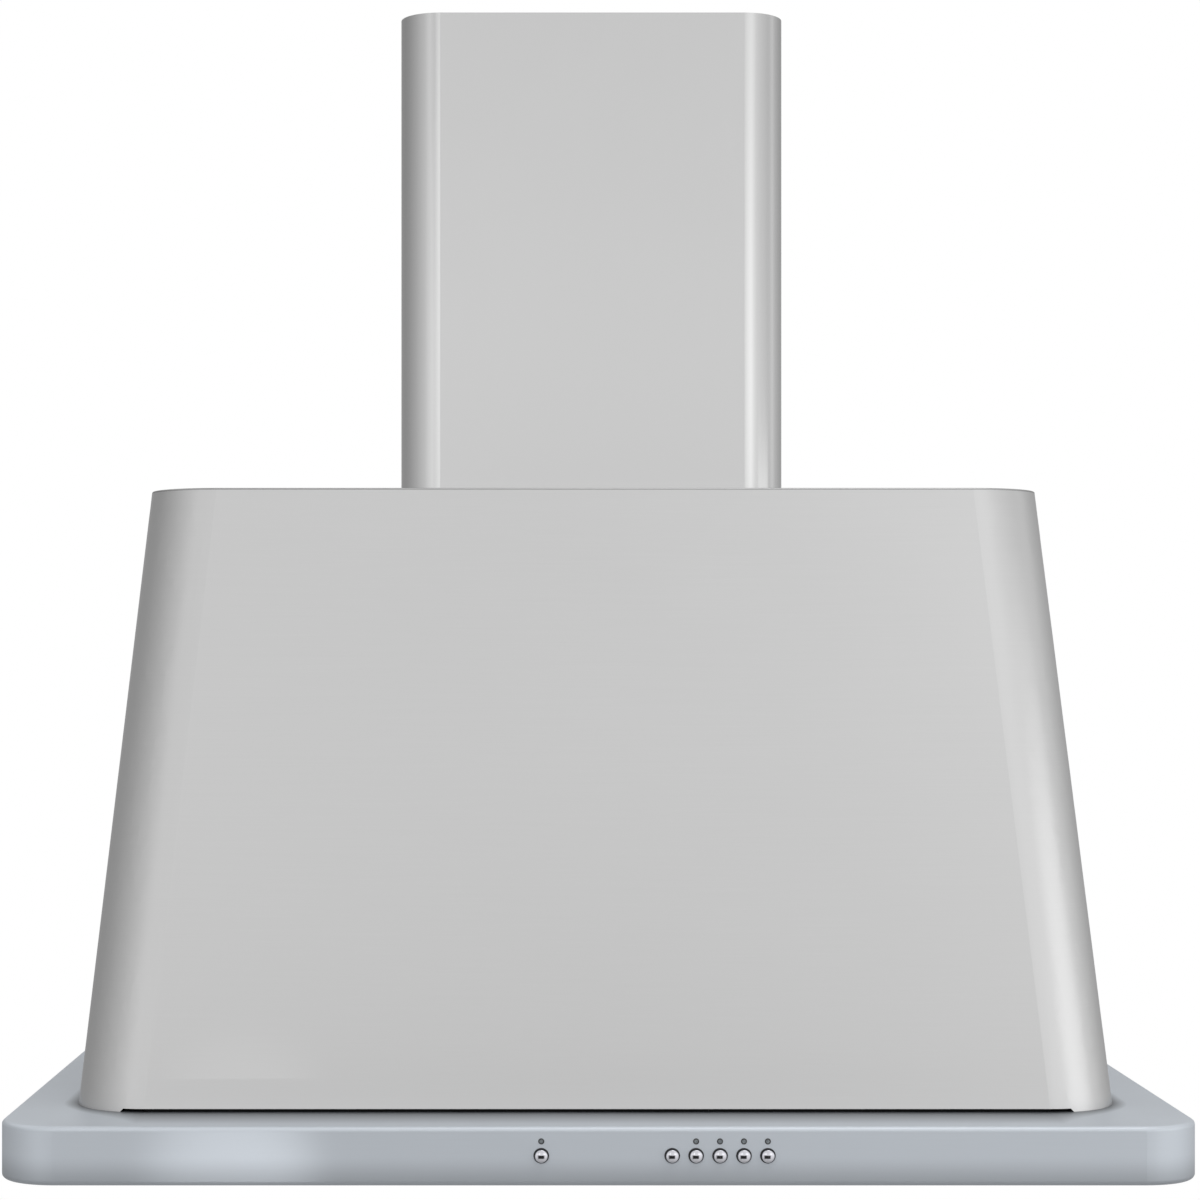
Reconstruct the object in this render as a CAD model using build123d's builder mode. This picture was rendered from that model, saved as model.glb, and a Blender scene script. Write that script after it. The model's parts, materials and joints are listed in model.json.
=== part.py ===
from build123d import *
import math
import os

# A wall-hung chimney range hood, in millimetres.
# +Z is up, the front faces -Y, and the wall is the plane Y = 0.
# The origin is on the wall, on the hood's centre line, level with its underside.

# ---------------------------------------------------------------- sheet and clearances
sheet = 1.2                 # stainless sheet of the tray, canopy and blower
seat_gap = 0.3              # gap between a loose piece and what carries it
quarter_turn = 90           # degrees

# ---------------------------------------------------------------- tray
tray_width = 900.0
tray_depth = 500.0
tray_height = 44.0
tray_corner_r = 45.0        # front corners, seen from above
tray_edge_r = 3.5           # pressed edge round the top
tray_foot_r = 4.0           # rolled edge round the bottom
tray_rim = 14.0             # rim turned in along the bottom
tray_shelf = 30.0           # tray top left inside the canopy, which stands on it
throat_corner_r = 3.0       # corners of the opening inside that shelf

# ---------------------------------------------------------------- canopy
canopy_side_set = 45.0      # tray showing beside the canopy
canopy_front_set = 70.0     # tray showing in front of it
canopy_height = 480.5       # tray top to the top plate
canopy_side_lean = 49.5     # how far each side leans in over that height
canopy_front_lean = 60.0    # how far the front leans back
canopy_corner_r = 58.0
canopy_flange = 16.0        # flanges turned in at the base, back and top
base_flange_share = 0.75    # share of the canopy's depth that the base flanges run
top_plate_thickness = 1.5
top_plate_edge_r = 1.2      # rounded outer edge
back_plate_thickness = 1.5
shadow_gap = 2.5            # slot under the canopy's front edge
shadow_gap_half = 363.0     # half the length of that slot
seal_thickness = 3.0
seal_height = 8.0

# ---------------------------------------------------------------- wall fixings
wall_slot_span = 500.0      # between the two upper slots
wall_slot_drop = 70.0       # below the top of the canopy
wall_slot_length = 24.0
wall_hole_rise = 70.0       # lower holes, above the tray
wall_hole_r = 4.0

# ---------------------------------------------------------------- chimney covers
cover_sheet = 1.0
cover_width = 314.0
cover_front = 290.0         # wall to the front of the lower cover
cover_wall_gap = 3.2        # wall to the back of the lower cover
cover_height = 393.0
cover_corner_r = 33.0
cover_flange = 20.0         # back edges turned in
cover_spacing = 1.5         # between the two covers
cover_back_spacing = 4.2    # the same at the back, where screw heads pass
cover_top_drop = 2.0        # upper cover's top below the lower's, when stored
cover_hole_r = 2.2          # holes that take the ceiling bracket's screws
cover_hole_drop = 15.0
tab_height = 30.0           # tabs of the top plate that hold the lower cover
tab_width = 18.0

# ---------------------------------------------------------------- duct collar and damper
collar_r = 75.0             # a 150 mm duct slips over it
collar_wall = 2.5
collar_height = 60.0
collar_flange = 17.0
damper_rise = 26.0          # hinge line above the top plate
damper_rod_r = 2.0
damper_leaf = 1.5
damper_gap = 1.0            # leaf edge to the collar's wall
damper_lip = 4.0
knuckle_r = 3.6
knuckle_clearance = 0.06
knuckle_half = 16.0         # half the length of the middle knuckle
running_gap = 0.05          # radial clearance of the turning fits

# ---------------------------------------------------------------- blower
outlet_width = 190.0        # inside the housing, along the shaft
outlet_depth = 115.0
scroll_r = 95.0             # inside radius at the tongue
scroll_start = 5.0          # growth of its first quarter turn
scroll_step = 13.0          # growth of each quarter turn after it
tongue_r = 10.0
outlet_length = 170.0       # shaft line up to the housing's mouth
transition_height = 85.0
neck_height = 14.0          # round neck under the top plate
transition_corner_r = 12.0
inlet_r = 62.0
inlet_lip = 4.8
wheel_r = 85.0
wheel_inner_r = 70.0
wheel_half = 84.0
wheel_sheet = 1.0
wheel_blades = 36
blade_angle = 30            # blades leaned from the radius
hub_r = 14.0
shaft_r = 4.0
motor_r = 42.0
motor_length = 90.0
motor_nose = 12.0           # motor face to the middle of the wheel
bracket_thickness = 2.0
bracket_arm = 16.0
mount_circle_r = 80.0
mount_angles = (90, 210, 330)
mount_r = 6.0
mount_height = 5.8
fastener_circle_r = 84.0    # screws through the collar's flange

# ---------------------------------------------------------------- grease filters
filter_count = 3
filter_side_margin = 57.0   # tray side to the filter opening
filter_front_strip = 104.0  # tray front to the filter opening
filter_rear_strip = 62.0    # wall to the filter opening
filter_thickness = 12.0
filter_sheet = 0.8
filter_border = 12.0
filter_rise = 3.2           # filter above the underside panel
filter_side_gap = 1.0
filter_front_gap = 2.0
filter_rear_gap = 2.6
rail_width = 6.0
rail_height = 13.0
rail_overlap = 10.0
peg_r = 2.0
peg_back = 2.5              # hinge line in front of the filter's rear face
peg_up = 3.5                # and above its underside
peg_reach = 2.6             # peg inside the rail
baffle_count = 8
baffle_width = 20.0
baffle_height = 6.1
baffle_margin = 10.2        # outermost baffle to the frame's outside
latch_width = 40.0
latch_length = 27.0
latch_thickness = 2.4
latch_reach = 5.0           # tongue past the filter's front face
latch_lip = 3.0
latch_travel = 5.0
latch_stud_r = 1.5
latch_stud_head_r = 2.8
latch_stud_spacing = 24.0
latch_stud_back = 6.0

# ---------------------------------------------------------------- controls
button_rise = 22.6          # button centres above the underside
button_light_x = -43.3
button_first_x = 53.6       # first of the row of five
button_pitch = 17.7
button_count = 5
button_r = 4.7
button_dome = 0.8
button_edge_r = 0.8
button_proud = 4.6
button_travel = 2.0
button_collar_r = 5.8
button_stem_r = 2.0
guide_r = 5.6
guide_wall = 0.7
guide_flange_r = 7.4
guide_flange = 1.5
guide_length = 8.8          # behind the tray's front sheet
led_rise = 33.2
led_r = 2.1
control_box_margin = 20.0   # past the outermost buttons
control_box_depth = 56.0
control_box_height = 36.0
control_box_wall = 2.0
board_back = 23.0           # tray front sheet to the board
board_thickness = 1.6
switch_size = 12.0
switch_depth = 7.0

# ---------------------------------------------------------------- lamps
lamp_x = 260.0
lamp_back = 52.0            # tray front to the lamp centres
lamp_lens_r = 23.8
lamp_lens_thickness = 2.0
lamp_sleeve_wall = 3.0
lamp_bezel_r = 33.0
lamp_bezel_thickness = 1.0
lamp_sleeve_height = 4.8
lamp_fin_pitch = 8.0
lamp_fin_slots = 6
lamp_body_height = 16.0
lamp_boss = 12.0

# ---------------------------------------------------------------- electrical boxes and leads
box_x = 95.0
box_width = 110.0
box_height = 60.0
box_depth = 40.0
box_drop = 24.5             # top of the box below the canopy's top
box_wall = 2.0
gland_x = 115.0
gland_back = 45.0           # wall to the gland's axis
gland_bore_r = 4.0
gland_thread_r = 6.0
gland_nut_r = 10.0
gland_height = 12.0
gland_nut = 5.0
driver_x = -230.0
driver_width = 80.0
driver_height = 40.0
driver_depth = 22.0
driver_drop = 84.5
capacitor_x = 250.0
capacitor_r = 15.0
capacitor_length = 60.0
capacitor_drop = 144.5
lead_r = 3.0
lead_wall_gap = 22.0        # wall to the leads' first run
lead_side_gap = 23.2        # canopy's side to the controls lead
lead_motor_reach = 60.0     # motor lead's loop outside the motor bracket
lead_bend_r = 24.0
lead_tight_r = 7.0
lead_approach = 52.0        # slanting run before the hole in the tray's shelf
lead_entry = 24.0           # straight run into the control box
shelf_hole_margin = 2.4     # room for the lead's bend in that hole
shelf_hole_back = 18.0      # canopy's front to that hole

# ---------------------------------------------------------------- screws
screw_r = 2.0
screw_length = 8.0
screw_head_r = 3.8
screw_head = 2.4
screw_clearance = 0.2
short_screw_length = 2.2
shelf_screw_shares = (0.14, 0.48, 0.8)  # places along a side, as shares of its depth
plate_screw_shares = (0.12, 0.8)
flush_screw_share = 0.35                # places along the top's front, share of half its width
flush_head_r = 3.6
back_screw_shares = (0.1, 0.5, 0.9)     # heights up the back
rim_screw_shares = (0.15, 0.5, 0.85)
rim_front_share = 0.6
collar_screw_angles = (45, 135, 225, 315)
rim_screw_r = 1.75
rim_screw_head_r = 3.0
rim_screw_length = 7.0

# ---------------------------------------------------------------- derived places
tray_half = tray_width / 2
canopy_base_half = tray_half - canopy_side_set
canopy_base_front = canopy_front_set - tray_depth
canopy_rim = tray_height + canopy_height
canopy_top = canopy_rim + top_plate_thickness
canopy_back = -back_plate_thickness
cover_half = cover_width / 2
cover_top = canopy_top + cover_height
duct_y = -(cover_front + cover_wall_gap) / 2
mouth_z = canopy_rim - transition_height
shaft_z = mouth_z - outlet_length
scroll_radii = [scroll_r + scroll_start + scroll_step * quarter for quarter in range(3)]
shaft_y = duct_y + outlet_depth / 2 + scroll_radii[0] - scroll_radii[1] - scroll_radii[2]
panel_top = 2 * sheet
filter_base = panel_top + filter_rise
opening_half = tray_half - filter_side_margin
opening_front = filter_front_strip - tray_depth
opening_back = -filter_rear_strip
front_face = -tray_depth
front_inside = front_face + sheet
button_row = [button_first_x + button_pitch * step for step in range(button_count)]
button_places = [button_light_x] + button_row
led_places = [button_light_x] + button_row[1:]


def keep(piece, name):
    """Label a finished piece and write its file."""
    piece.part.label = name
    export_step(piece.part, f"parts/{name}.step")


def front_rounded(half_width, front, back, radius, level):
    """Outline seen from above, with its two front corners rounded."""
    with BuildSketch(Plane.XY.offset(level)) as outline:
        with Locations((0, (front + back) / 2)):
            Rectangle(2 * half_width, back - front)
        fillet(outline.vertices().group_by(Axis.Y)[0], radius)
    return outline.sketch


def tray_block(inset, bottom):
    """The tray's outer form, or its inside when inset by the sheet."""
    outline = front_rounded(tray_half - inset, inset - tray_depth, -inset, tray_corner_r - inset, bottom)
    with BuildPart() as block:
        extrude(outline, amount=tray_height - inset - bottom)
        top_edges = block.faces().sort_by(Axis.Z)[-1].edges()
        fillet(top_edges.sort_by(Axis.Y)[:-1], tray_edge_r - inset)
        bottom_edges = block.faces().sort_by(Axis.Z)[0].edges()
        fillet(bottom_edges.sort_by(Axis.Y)[:-1], tray_foot_r - inset)
    return block.part


def canopy_half(level):
    """Half the canopy's width at a height."""
    return canopy_base_half - canopy_side_lean * (level - tray_height) / canopy_height


def canopy_front(level):
    """The canopy's front face at a height."""
    return canopy_base_front + canopy_front_lean * (level - tray_height) / canopy_height


def canopy_block(inset, bottom, top, back):
    """The canopy's tapered form between two heights, inset by a thickness."""
    sections = [
        front_rounded(canopy_half(z) - inset, canopy_front(z) + inset, back, canopy_corner_r - inset, z)
        for z in (bottom, top)
    ]
    with BuildPart() as block:
        loft(sections, ruled=True)
    return block.part


def cover_shell(half_width, front, back, radius, bottom, top):
    """A chimney cover: front and sides in one sheet, with its back edges turned in."""
    outside = front_rounded(half_width, front, back, radius, bottom)
    inside = front_rounded(
        half_width - cover_sheet, front + cover_sheet, back - cover_sheet, radius - cover_sheet, bottom
    )
    with BuildPart() as shell:
        extrude(outside, amount=top - bottom)
        extrude(inside, amount=top - bottom, mode=Mode.SUBTRACT)
        with Locations((0, back, (bottom + top) / 2)):
            Box(2 * (half_width - cover_flange), 4 * cover_sheet, top - bottom, mode=Mode.SUBTRACT)
    return shell.part


def upright(x, y, z):
    """Plane for a screw driven down: its normal points up, out of the head."""
    return Plane(origin=(x, y, z), z_dir=(0, 0, 1))


def inverted(x, y, z):
    """Plane for a screw driven up from below."""
    return Plane(origin=(x, y, z), x_dir=(1, 0, 0), z_dir=(0, 0, -1))


def facing_front(x, y, z):
    """Plane for a screw or hole that faces the front."""
    return Plane(origin=(x, y, z), x_dir=(1, 0, 0), z_dir=(0, -1, 0))


# ---------------------------------------------------------------- screw places
shelf_screw_x = canopy_base_half - sheet - canopy_flange / 2
shelf_screws = [
    inverted(side * shelf_screw_x, y, tray_height - sheet)
    for side in (-1, 1)
    for y in [share * canopy_base_front for share in shelf_screw_shares]
]
rim_half = canopy_half(canopy_rim)
rim_front = canopy_front(canopy_rim)
plate_edge = sheet + canopy_flange / 2
plate_screws = [
    upright(side * (rim_half - plate_edge), y, canopy_top)
    for side in (-1, 1)
    for y in [share * rim_front for share in plate_screw_shares]
]
flush_screws = [
    upright(side * flush_screw_share * rim_half, rim_front + plate_edge, canopy_top) for side in (-1, 1)
]
flush_sink_angle = 2 * math.degrees(math.atan2(flush_head_r - screw_r, top_plate_thickness))
collar_screws = [
    upright(
        fastener_circle_r * math.cos(math.radians(angle)),
        duct_y + fastener_circle_r * math.sin(math.radians(angle)),
        canopy_top + sheet,
    )
    for angle in collar_screw_angles
]
back_levels = [tray_height + canopy_height * share for share in back_screw_shares]
back_screws = [
    facing_front(side * (canopy_half(z) - sheet - canopy_flange / 2), canopy_back - sheet, z)
    for side in (-1, 1)
    for z in back_levels
]
tab_x = cover_half - cover_sheet - cover_flange / 2
cover_screws = [
    facing_front(side * tab_x, -cover_wall_gap - cover_sheet, canopy_top + tab_height / 2)
    for side in (-1, 1)
]
rim_screws = [
    inverted(side * (tray_half - tray_rim / 2 - sheet), y, 0)
    for side in (-1, 1)
    for y in [share * front_face for share in rim_screw_shares]
]
rim_sink_angle = 2 * math.degrees(math.atan2(rim_screw_head_r - rim_screw_r, sheet))
rim_screws += [
    inverted(side * rim_front_share * tray_half, front_face + tray_rim / 2 + sheet, 0) for side in (-1, 1)
]

os.makedirs("parts", exist_ok=True)

# ---------------------------------------------------------------- tray shell
shelf_hole_x = canopy_base_half - tray_shelf - seat_gap - lead_r
shelf_hole_y = canopy_base_front + shelf_hole_back
throat_half = canopy_base_half - tray_shelf
throat_front = canopy_base_front + tray_shelf
throat_back = -tray_shelf
tray_outside = tray_block(0, 0)
tray_inside = tray_block(sheet, sheet)
with BuildPart() as tray_shell:
    add(tray_outside)
    add(tray_inside, mode=Mode.SUBTRACT)
    with BuildSketch():
        with Locations((0, -tray_depth / 2)):
            Rectangle(tray_width - 2 * tray_rim, tray_depth - 2 * tray_rim)
        fillet(vertices().group_by(Axis.Y)[0], tray_corner_r - tray_rim)
    extrude(amount=sheet, mode=Mode.SUBTRACT)
    with BuildSketch(Plane.XY.offset(tray_height)):
        with Locations((0, (throat_front + throat_back) / 2)):
            RectangleRounded(2 * throat_half, throat_back - throat_front, throat_corner_r)
    extrude(amount=-2 * sheet, mode=Mode.SUBTRACT)
    with BuildSketch(facing_front(0, front_face, 0)):
        with Locations(*[(x, button_rise) for x in button_places]):
            Circle(guide_r + screw_clearance)
        with Locations(*[(x, led_rise) for x in led_places]):
            Circle(led_r + screw_clearance)
    extrude(amount=-2 * sheet, mode=Mode.SUBTRACT)
    with Locations(*shelf_screws):
        Hole(screw_r + screw_clearance, 4 * sheet)
    with Locations(*rim_screws):
        CounterSinkHole(
            rim_screw_r + screw_clearance,
            rim_screw_head_r + screw_clearance,
            2 * sheet,
            counter_sink_angle=rim_sink_angle,
        )
    with Locations((shelf_hole_x, shelf_hole_y, tray_height)):
        Hole(lead_r + shelf_hole_margin, 2 * sheet)
keep(tray_shell, "tray_shell")

# ---------------------------------------------------------------- underside panel and filter rails
panel_inset = tray_foot_r + seat_gap
lamp_sleeve_r = lamp_lens_r + screw_clearance + lamp_sleeve_wall
lamp_y = lamp_back - tray_depth
lamp_centres = [(side * lamp_x, lamp_y) for side in (-1, 1)]
with BuildPart() as underside_panel:
    extrude(
        front_rounded(
            tray_half - panel_inset,
            front_face + panel_inset,
            -panel_inset,
            tray_corner_r - panel_inset,
            sheet,
        ),
        amount=sheet,
    )
    with BuildSketch(Plane.XY.offset(sheet)):
        with Locations((0, (opening_front + opening_back) / 2)):
            Rectangle(2 * opening_half, opening_back - opening_front)
        with Locations(*lamp_centres):
            Circle(lamp_sleeve_r + screw_clearance)
    extrude(amount=sheet, mode=Mode.SUBTRACT)
    with Locations(*rim_screws):
        Hole(rim_screw_r + screw_clearance, 4 * sheet)
keep(underside_panel, "underside_panel")

rail_pitch = (2 * opening_half - rail_width) / filter_count
rail_places = [rail_width / 2 - opening_half + rail_pitch * step for step in range(filter_count + 1)]
filter_width = rail_pitch - rail_width - 2 * filter_side_gap
filter_front = opening_front + filter_front_gap
filter_back = opening_back - filter_rear_gap
filter_length = filter_back - filter_front
filter_y = (filter_front + filter_back) / 2
filter_centres = [rail_places[step] + rail_pitch / 2 for step in range(filter_count)]
peg_y = filter_back - peg_back
peg_z = filter_base + peg_up
with BuildPart() as filter_rails:
    for x in rail_places:
        with Locations((x, (opening_front + opening_back) / 2, panel_top)):
            Box(
                rail_width,
                opening_back - opening_front + 2 * rail_overlap,
                rail_height,
                align=(Align.CENTER, Align.CENTER, Align.MIN),
            )
    with BuildSketch(Plane.YZ.offset(-tray_half)):
        with Locations((peg_y, peg_z)):
            Circle(peg_r + running_gap)
    extrude(amount=tray_width, mode=Mode.SUBTRACT)
keep(filter_rails, "filter_rails")

# ---------------------------------------------------------------- grease filters
baffle_length = filter_length - 2 * filter_sheet - 2 * seat_gap
baffle_pitch = (filter_width - 2 * baffle_margin - baffle_width) / (baffle_count - 1)
lower_baffles = [baffle_pitch * (step - (baffle_count - 1) / 2) for step in range(baffle_count)]
upper_baffles = [x + baffle_pitch / 2 for x in lower_baffles[:-1]]
lower_seat = filter_base + filter_sheet
upper_seat = filter_base + filter_thickness - filter_sheet
latch_top = filter_base - seat_gap
latch_base = latch_top - latch_thickness
latch_front = filter_front - latch_reach
stud_y = filter_front + latch_stud_back


def baffle(x, seat, direction):
    """Outline of one channel-shaped baffle, seen along its length."""
    with BuildSketch(Plane.XZ.offset(-(filter_y - baffle_length / 2))) as outline:
        with Locations((x, seat + direction * baffle_height / 2)):
            Rectangle(baffle_width, baffle_height)
        with Locations((x, seat + direction * (filter_sheet + baffle_height) / 2)):
            Rectangle(baffle_width - 2 * filter_sheet, baffle_height - filter_sheet, mode=Mode.SUBTRACT)
    return outline.sketch


for number, centre in enumerate(filter_centres, start=1):
    studs = [(centre + side * latch_stud_spacing / 2, stud_y) for side in (-1, 1)]
    with BuildPart() as filter_frame:
        with Locations((centre, filter_y, filter_base + filter_thickness / 2)):
            Box(filter_width, filter_length, filter_thickness)
            Box(
                filter_width - 2 * filter_sheet,
                filter_length - 2 * filter_sheet,
                filter_thickness - 2 * filter_sheet,
                mode=Mode.SUBTRACT,
            )
            Box(
                filter_width - 2 * filter_border,
                filter_length - 2 * filter_border,
                filter_thickness,
                mode=Mode.SUBTRACT,
            )
        for side in (-1, 1):
            with BuildSketch(Plane.YZ.offset(centre + side * (filter_width / 2 - filter_sheet))):
                with Locations((peg_y, peg_z)):
                    Circle(peg_r)
            extrude(amount=side * (filter_sheet + filter_side_gap + peg_reach))
        with BuildSketch(Plane.XY.offset(filter_base)):
            with Locations(*studs):
                Circle(latch_stud_r)
        extrude(amount=-(latch_thickness + 2 * seat_gap))
        with BuildSketch(Plane.XY.offset(latch_base - seat_gap)):
            with Locations(*studs):
                Circle(latch_stud_head_r)
        extrude(amount=-filter_sheet)
    keep(filter_frame, f"filter_frame_{number}")

    with BuildPart() as filter_baffles:
        for x in lower_baffles:
            extrude(baffle(centre + x, lower_seat, 1), amount=-baffle_length)
        for x in upper_baffles:
            extrude(baffle(centre + x, upper_seat, -1), amount=-baffle_length)
    keep(filter_baffles, f"filter_baffles_{number}")

    with BuildPart() as filter_latch:
        with BuildSketch(Plane.XY.offset(latch_base)):
            with Locations((centre, latch_front + latch_length / 2)):
                RectangleRounded(latch_width, latch_length, latch_stud_r)
            with Locations(*[(x, y - latch_travel / 2) for x, y in studs]):
                SlotOverall(
                    latch_travel + 2 * (latch_stud_r + screw_clearance),
                    2 * (latch_stud_r + screw_clearance),
                    rotation=quarter_turn,
                    mode=Mode.SUBTRACT,
                )
        extrude(amount=latch_thickness)
        with Locations((centre, latch_front + latch_length, latch_base)):
            Box(
                latch_width - 2 * latch_thickness,
                latch_thickness,
                latch_lip - seat_gap,
                align=(Align.CENTER, Align.MAX, Align.MAX),
            )
    keep(filter_latch, f"filter_latch_{number}")

# ---------------------------------------------------------------- canopy
canopy_outside = canopy_block(0, tray_height, canopy_rim, canopy_back)
canopy_inside = canopy_block(sheet, tray_height, canopy_rim - sheet, canopy_back - sheet)
gap_end = shadow_gap_half + shadow_gap
window_base_half = canopy_base_half - sheet - canopy_flange
window_rim_half = rim_half - sheet - canopy_flange
rim_window = front_rounded(
    window_rim_half,
    rim_front + sheet + canopy_flange,
    canopy_back - sheet - canopy_flange,
    canopy_corner_r - canopy_flange,
    canopy_rim,
)
with BuildPart() as canopy_shell:
    add(canopy_outside)
    add(canopy_inside, mode=Mode.SUBTRACT)
    with BuildSketch(Plane.XZ.offset(-canopy_back)):
        with BuildLine():
            Polyline(
                (-window_base_half, tray_height),
                (window_base_half, tray_height),
                (window_rim_half, canopy_rim - canopy_flange),
                (-window_rim_half, canopy_rim - canopy_flange),
                close=True,
            )
        make_face()
    extrude(amount=sheet, mode=Mode.SUBTRACT)
    extrude(rim_window, amount=-2 * sheet, mode=Mode.SUBTRACT)
    with BuildSketch(Plane.XZ.offset(-canopy_base_front + sheet)):
        with BuildLine():
            Polyline(
                (-gap_end, tray_height),
                (gap_end, tray_height),
                (shadow_gap_half, tray_height + shadow_gap),
                (-shadow_gap_half, tray_height + shadow_gap),
                close=True,
            )
        make_face()
    extrude(amount=-canopy_corner_r / 4, mode=Mode.SUBTRACT)
    for side in (-1, 1):
        with Locations((side * (canopy_base_half - sheet), canopy_base_front / 2, tray_height)):
            Box(
                canopy_flange,
                -base_flange_share * canopy_base_front,
                sheet,
                align=(Align.MAX if side > 0 else Align.MIN, Align.CENTER, Align.MIN),
            )
    with Locations(*shelf_screws, *plate_screws, *flush_screws):
        Hole(screw_r + screw_clearance, 4 * sheet)
    with BuildSketch(Plane.XZ.offset(-canopy_back)):
        with Locations(*[(place.origin.X, place.origin.Z) for place in back_screws]):
            Circle(screw_r + screw_clearance)
    extrude(amount=sheet, mode=Mode.SUBTRACT)
keep(canopy_shell, "canopy_shell")

# ---------------------------------------------------------------- seal behind the shadow gap
front_slope = canopy_front_lean / canopy_height
seal_front = canopy_base_front + sheet + seat_gap + front_slope * seal_height
with BuildPart() as gap_seal:
    with BuildSketch(Plane.YZ.offset(-gap_end)):
        with BuildLine():
            Polyline(
                (seal_front, tray_height),
                (seal_front + seal_thickness, tray_height),
                (seal_front + seal_thickness, tray_height + seal_height),
                (seal_front, tray_height + seal_height),
                close=True,
            )
        make_face()
    extrude(amount=2 * gap_end)
    with Locations((0, seal_front, tray_height)):
        Box(
            2 * (canopy_base_half - canopy_corner_r),
            seal_thickness,
            seal_height,
            align=(Align.CENTER, Align.MIN, Align.MIN),
            mode=Mode.INTERSECT,
        )
keep(gap_seal, "gap_seal")

# ---------------------------------------------------------------- canopy top plate
with BuildPart() as canopy_top_plate:
    extrude(front_rounded(rim_half, rim_front, 0, canopy_corner_r, canopy_rim), amount=top_plate_thickness)
    outer_edges = canopy_top_plate.faces().sort_by(Axis.Z)[-1].edges()
    fillet(outer_edges.sort_by(Axis.Y)[:-1], top_plate_edge_r)
    with BuildSketch(Plane.XY.offset(canopy_rim)):
        with Locations((0, duct_y)):
            Circle(collar_r)
        with Locations((gland_x, -gland_back)):
            Circle(gland_thread_r + screw_clearance)
    extrude(amount=top_plate_thickness, mode=Mode.SUBTRACT)
    for side in (-1, 1):
        with Locations((side * tab_x, -cover_wall_gap, canopy_top)):
            Box(tab_width, sheet, tab_height, align=(Align.CENTER, Align.MIN, Align.MIN))
    with Locations(*plate_screws, *collar_screws, *cover_screws):
        Hole(screw_r + screw_clearance, 4 * sheet)
    with Locations(*flush_screws):
        CounterSinkHole(
            screw_r + screw_clearance,
            flush_head_r + screw_clearance,
            2 * top_plate_thickness,
            counter_sink_angle=flush_sink_angle,
        )
keep(canopy_top_plate, "canopy_top_plate")

# ---------------------------------------------------------------- canopy back panel
slot_z = canopy_top - wall_slot_drop
hole_z = tray_height + wall_hole_rise
with BuildPart() as canopy_back_panel:
    with BuildSketch(Plane.XZ):
        with BuildLine():
            Polyline(
                (-canopy_base_half, tray_height),
                (canopy_base_half, tray_height),
                (rim_half, canopy_rim),
                (-rim_half, canopy_rim),
                close=True,
            )
        make_face()
        with Locations(*[(side * wall_slot_span / 2, slot_z) for side in (-1, 1)]):
            SlotOverall(wall_slot_length, 2 * wall_hole_r, mode=Mode.SUBTRACT)
        with Locations(*[(side * wall_slot_span / 2, hole_z) for side in (-1, 1)]):
            Circle(wall_hole_r, mode=Mode.SUBTRACT)
    extrude(amount=back_plate_thickness)
    with Locations(*back_screws):
        Hole(screw_r + screw_clearance, 4 * sheet)
keep(canopy_back_panel, "canopy_back_panel")

# ---------------------------------------------------------------- chimney covers
lower_cover = cover_shell(cover_half, -cover_front, -cover_wall_gap, cover_corner_r, canopy_top, cover_top)
with BuildPart() as chimney_lower:
    add(lower_cover)
    with Locations(*cover_screws):
        Hole(screw_r + screw_clearance, 2 * sheet)
keep(chimney_lower, "chimney_lower")

cover_inset = cover_sheet + cover_spacing
upper_back = -cover_wall_gap - cover_sheet - cover_back_spacing
upper_cover = cover_shell(
    cover_half - cover_inset,
    cover_inset - cover_front,
    upper_back,
    cover_corner_r - cover_inset,
    canopy_top + seat_gap,
    cover_top - cover_top_drop,
)
cover_holes = [
    facing_front(side * (tab_x - cover_inset), upper_back, cover_top - cover_top_drop - cover_hole_drop)
    for side in (-1, 1)
]
with BuildPart() as chimney_upper:
    add(upper_cover)
    with Locations(*cover_holes):
        Hole(cover_hole_r, 2 * sheet)
keep(chimney_upper, "chimney_upper")

# ---------------------------------------------------------------- duct collar
hinge_z = canopy_top + damper_rise
lip_top = hinge_z - damper_leaf / 2 - seat_gap
with BuildPart() as duct_collar:
    with BuildSketch(Plane.XY.offset(canopy_top)):
        with Locations((0, duct_y)):
            Circle(collar_r + collar_flange)
            Circle(collar_r - collar_wall, mode=Mode.SUBTRACT)
    extrude(amount=sheet)
    with BuildSketch(Plane.XY.offset(canopy_top)):
        with Locations((0, duct_y)):
            Circle(collar_r)
            Circle(collar_r - collar_wall, mode=Mode.SUBTRACT)
    extrude(amount=collar_height)
    with BuildSketch(Plane.XY.offset(lip_top)):
        with Locations((0, duct_y)):
            Circle(collar_r - collar_wall)
            Circle(collar_r - collar_wall - damper_lip, mode=Mode.SUBTRACT)
    extrude(amount=-sheet)
    with BuildSketch(Plane.YZ.offset(-collar_r)):
        with Locations((duct_y, hinge_z)):
            Circle(damper_rod_r)
    extrude(amount=2 * collar_r, mode=Mode.SUBTRACT)
    with Locations(*collar_screws):
        Hole(screw_r + screw_clearance, 2 * sheet)
keep(duct_collar, "duct_collar")

# ---------------------------------------------------------------- damper
with BuildPart() as damper_rod:
    with BuildSketch(Plane.YZ.offset(seat_gap - collar_r)):
        with Locations((duct_y, hinge_z)):
            Circle(damper_rod_r)
    extrude(amount=2 * (collar_r - seat_gap))
keep(damper_rod, "damper_rod")

leaf_r = collar_r - collar_wall - damper_gap
knuckle_bore = damper_rod_r + knuckle_clearance
front_knuckles = [(-knuckle_half, knuckle_half)]
rear_knuckles = [
    (knuckle_half + seat_gap, 3 * knuckle_half),
    (-3 * knuckle_half, -knuckle_half - seat_gap),
]


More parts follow.
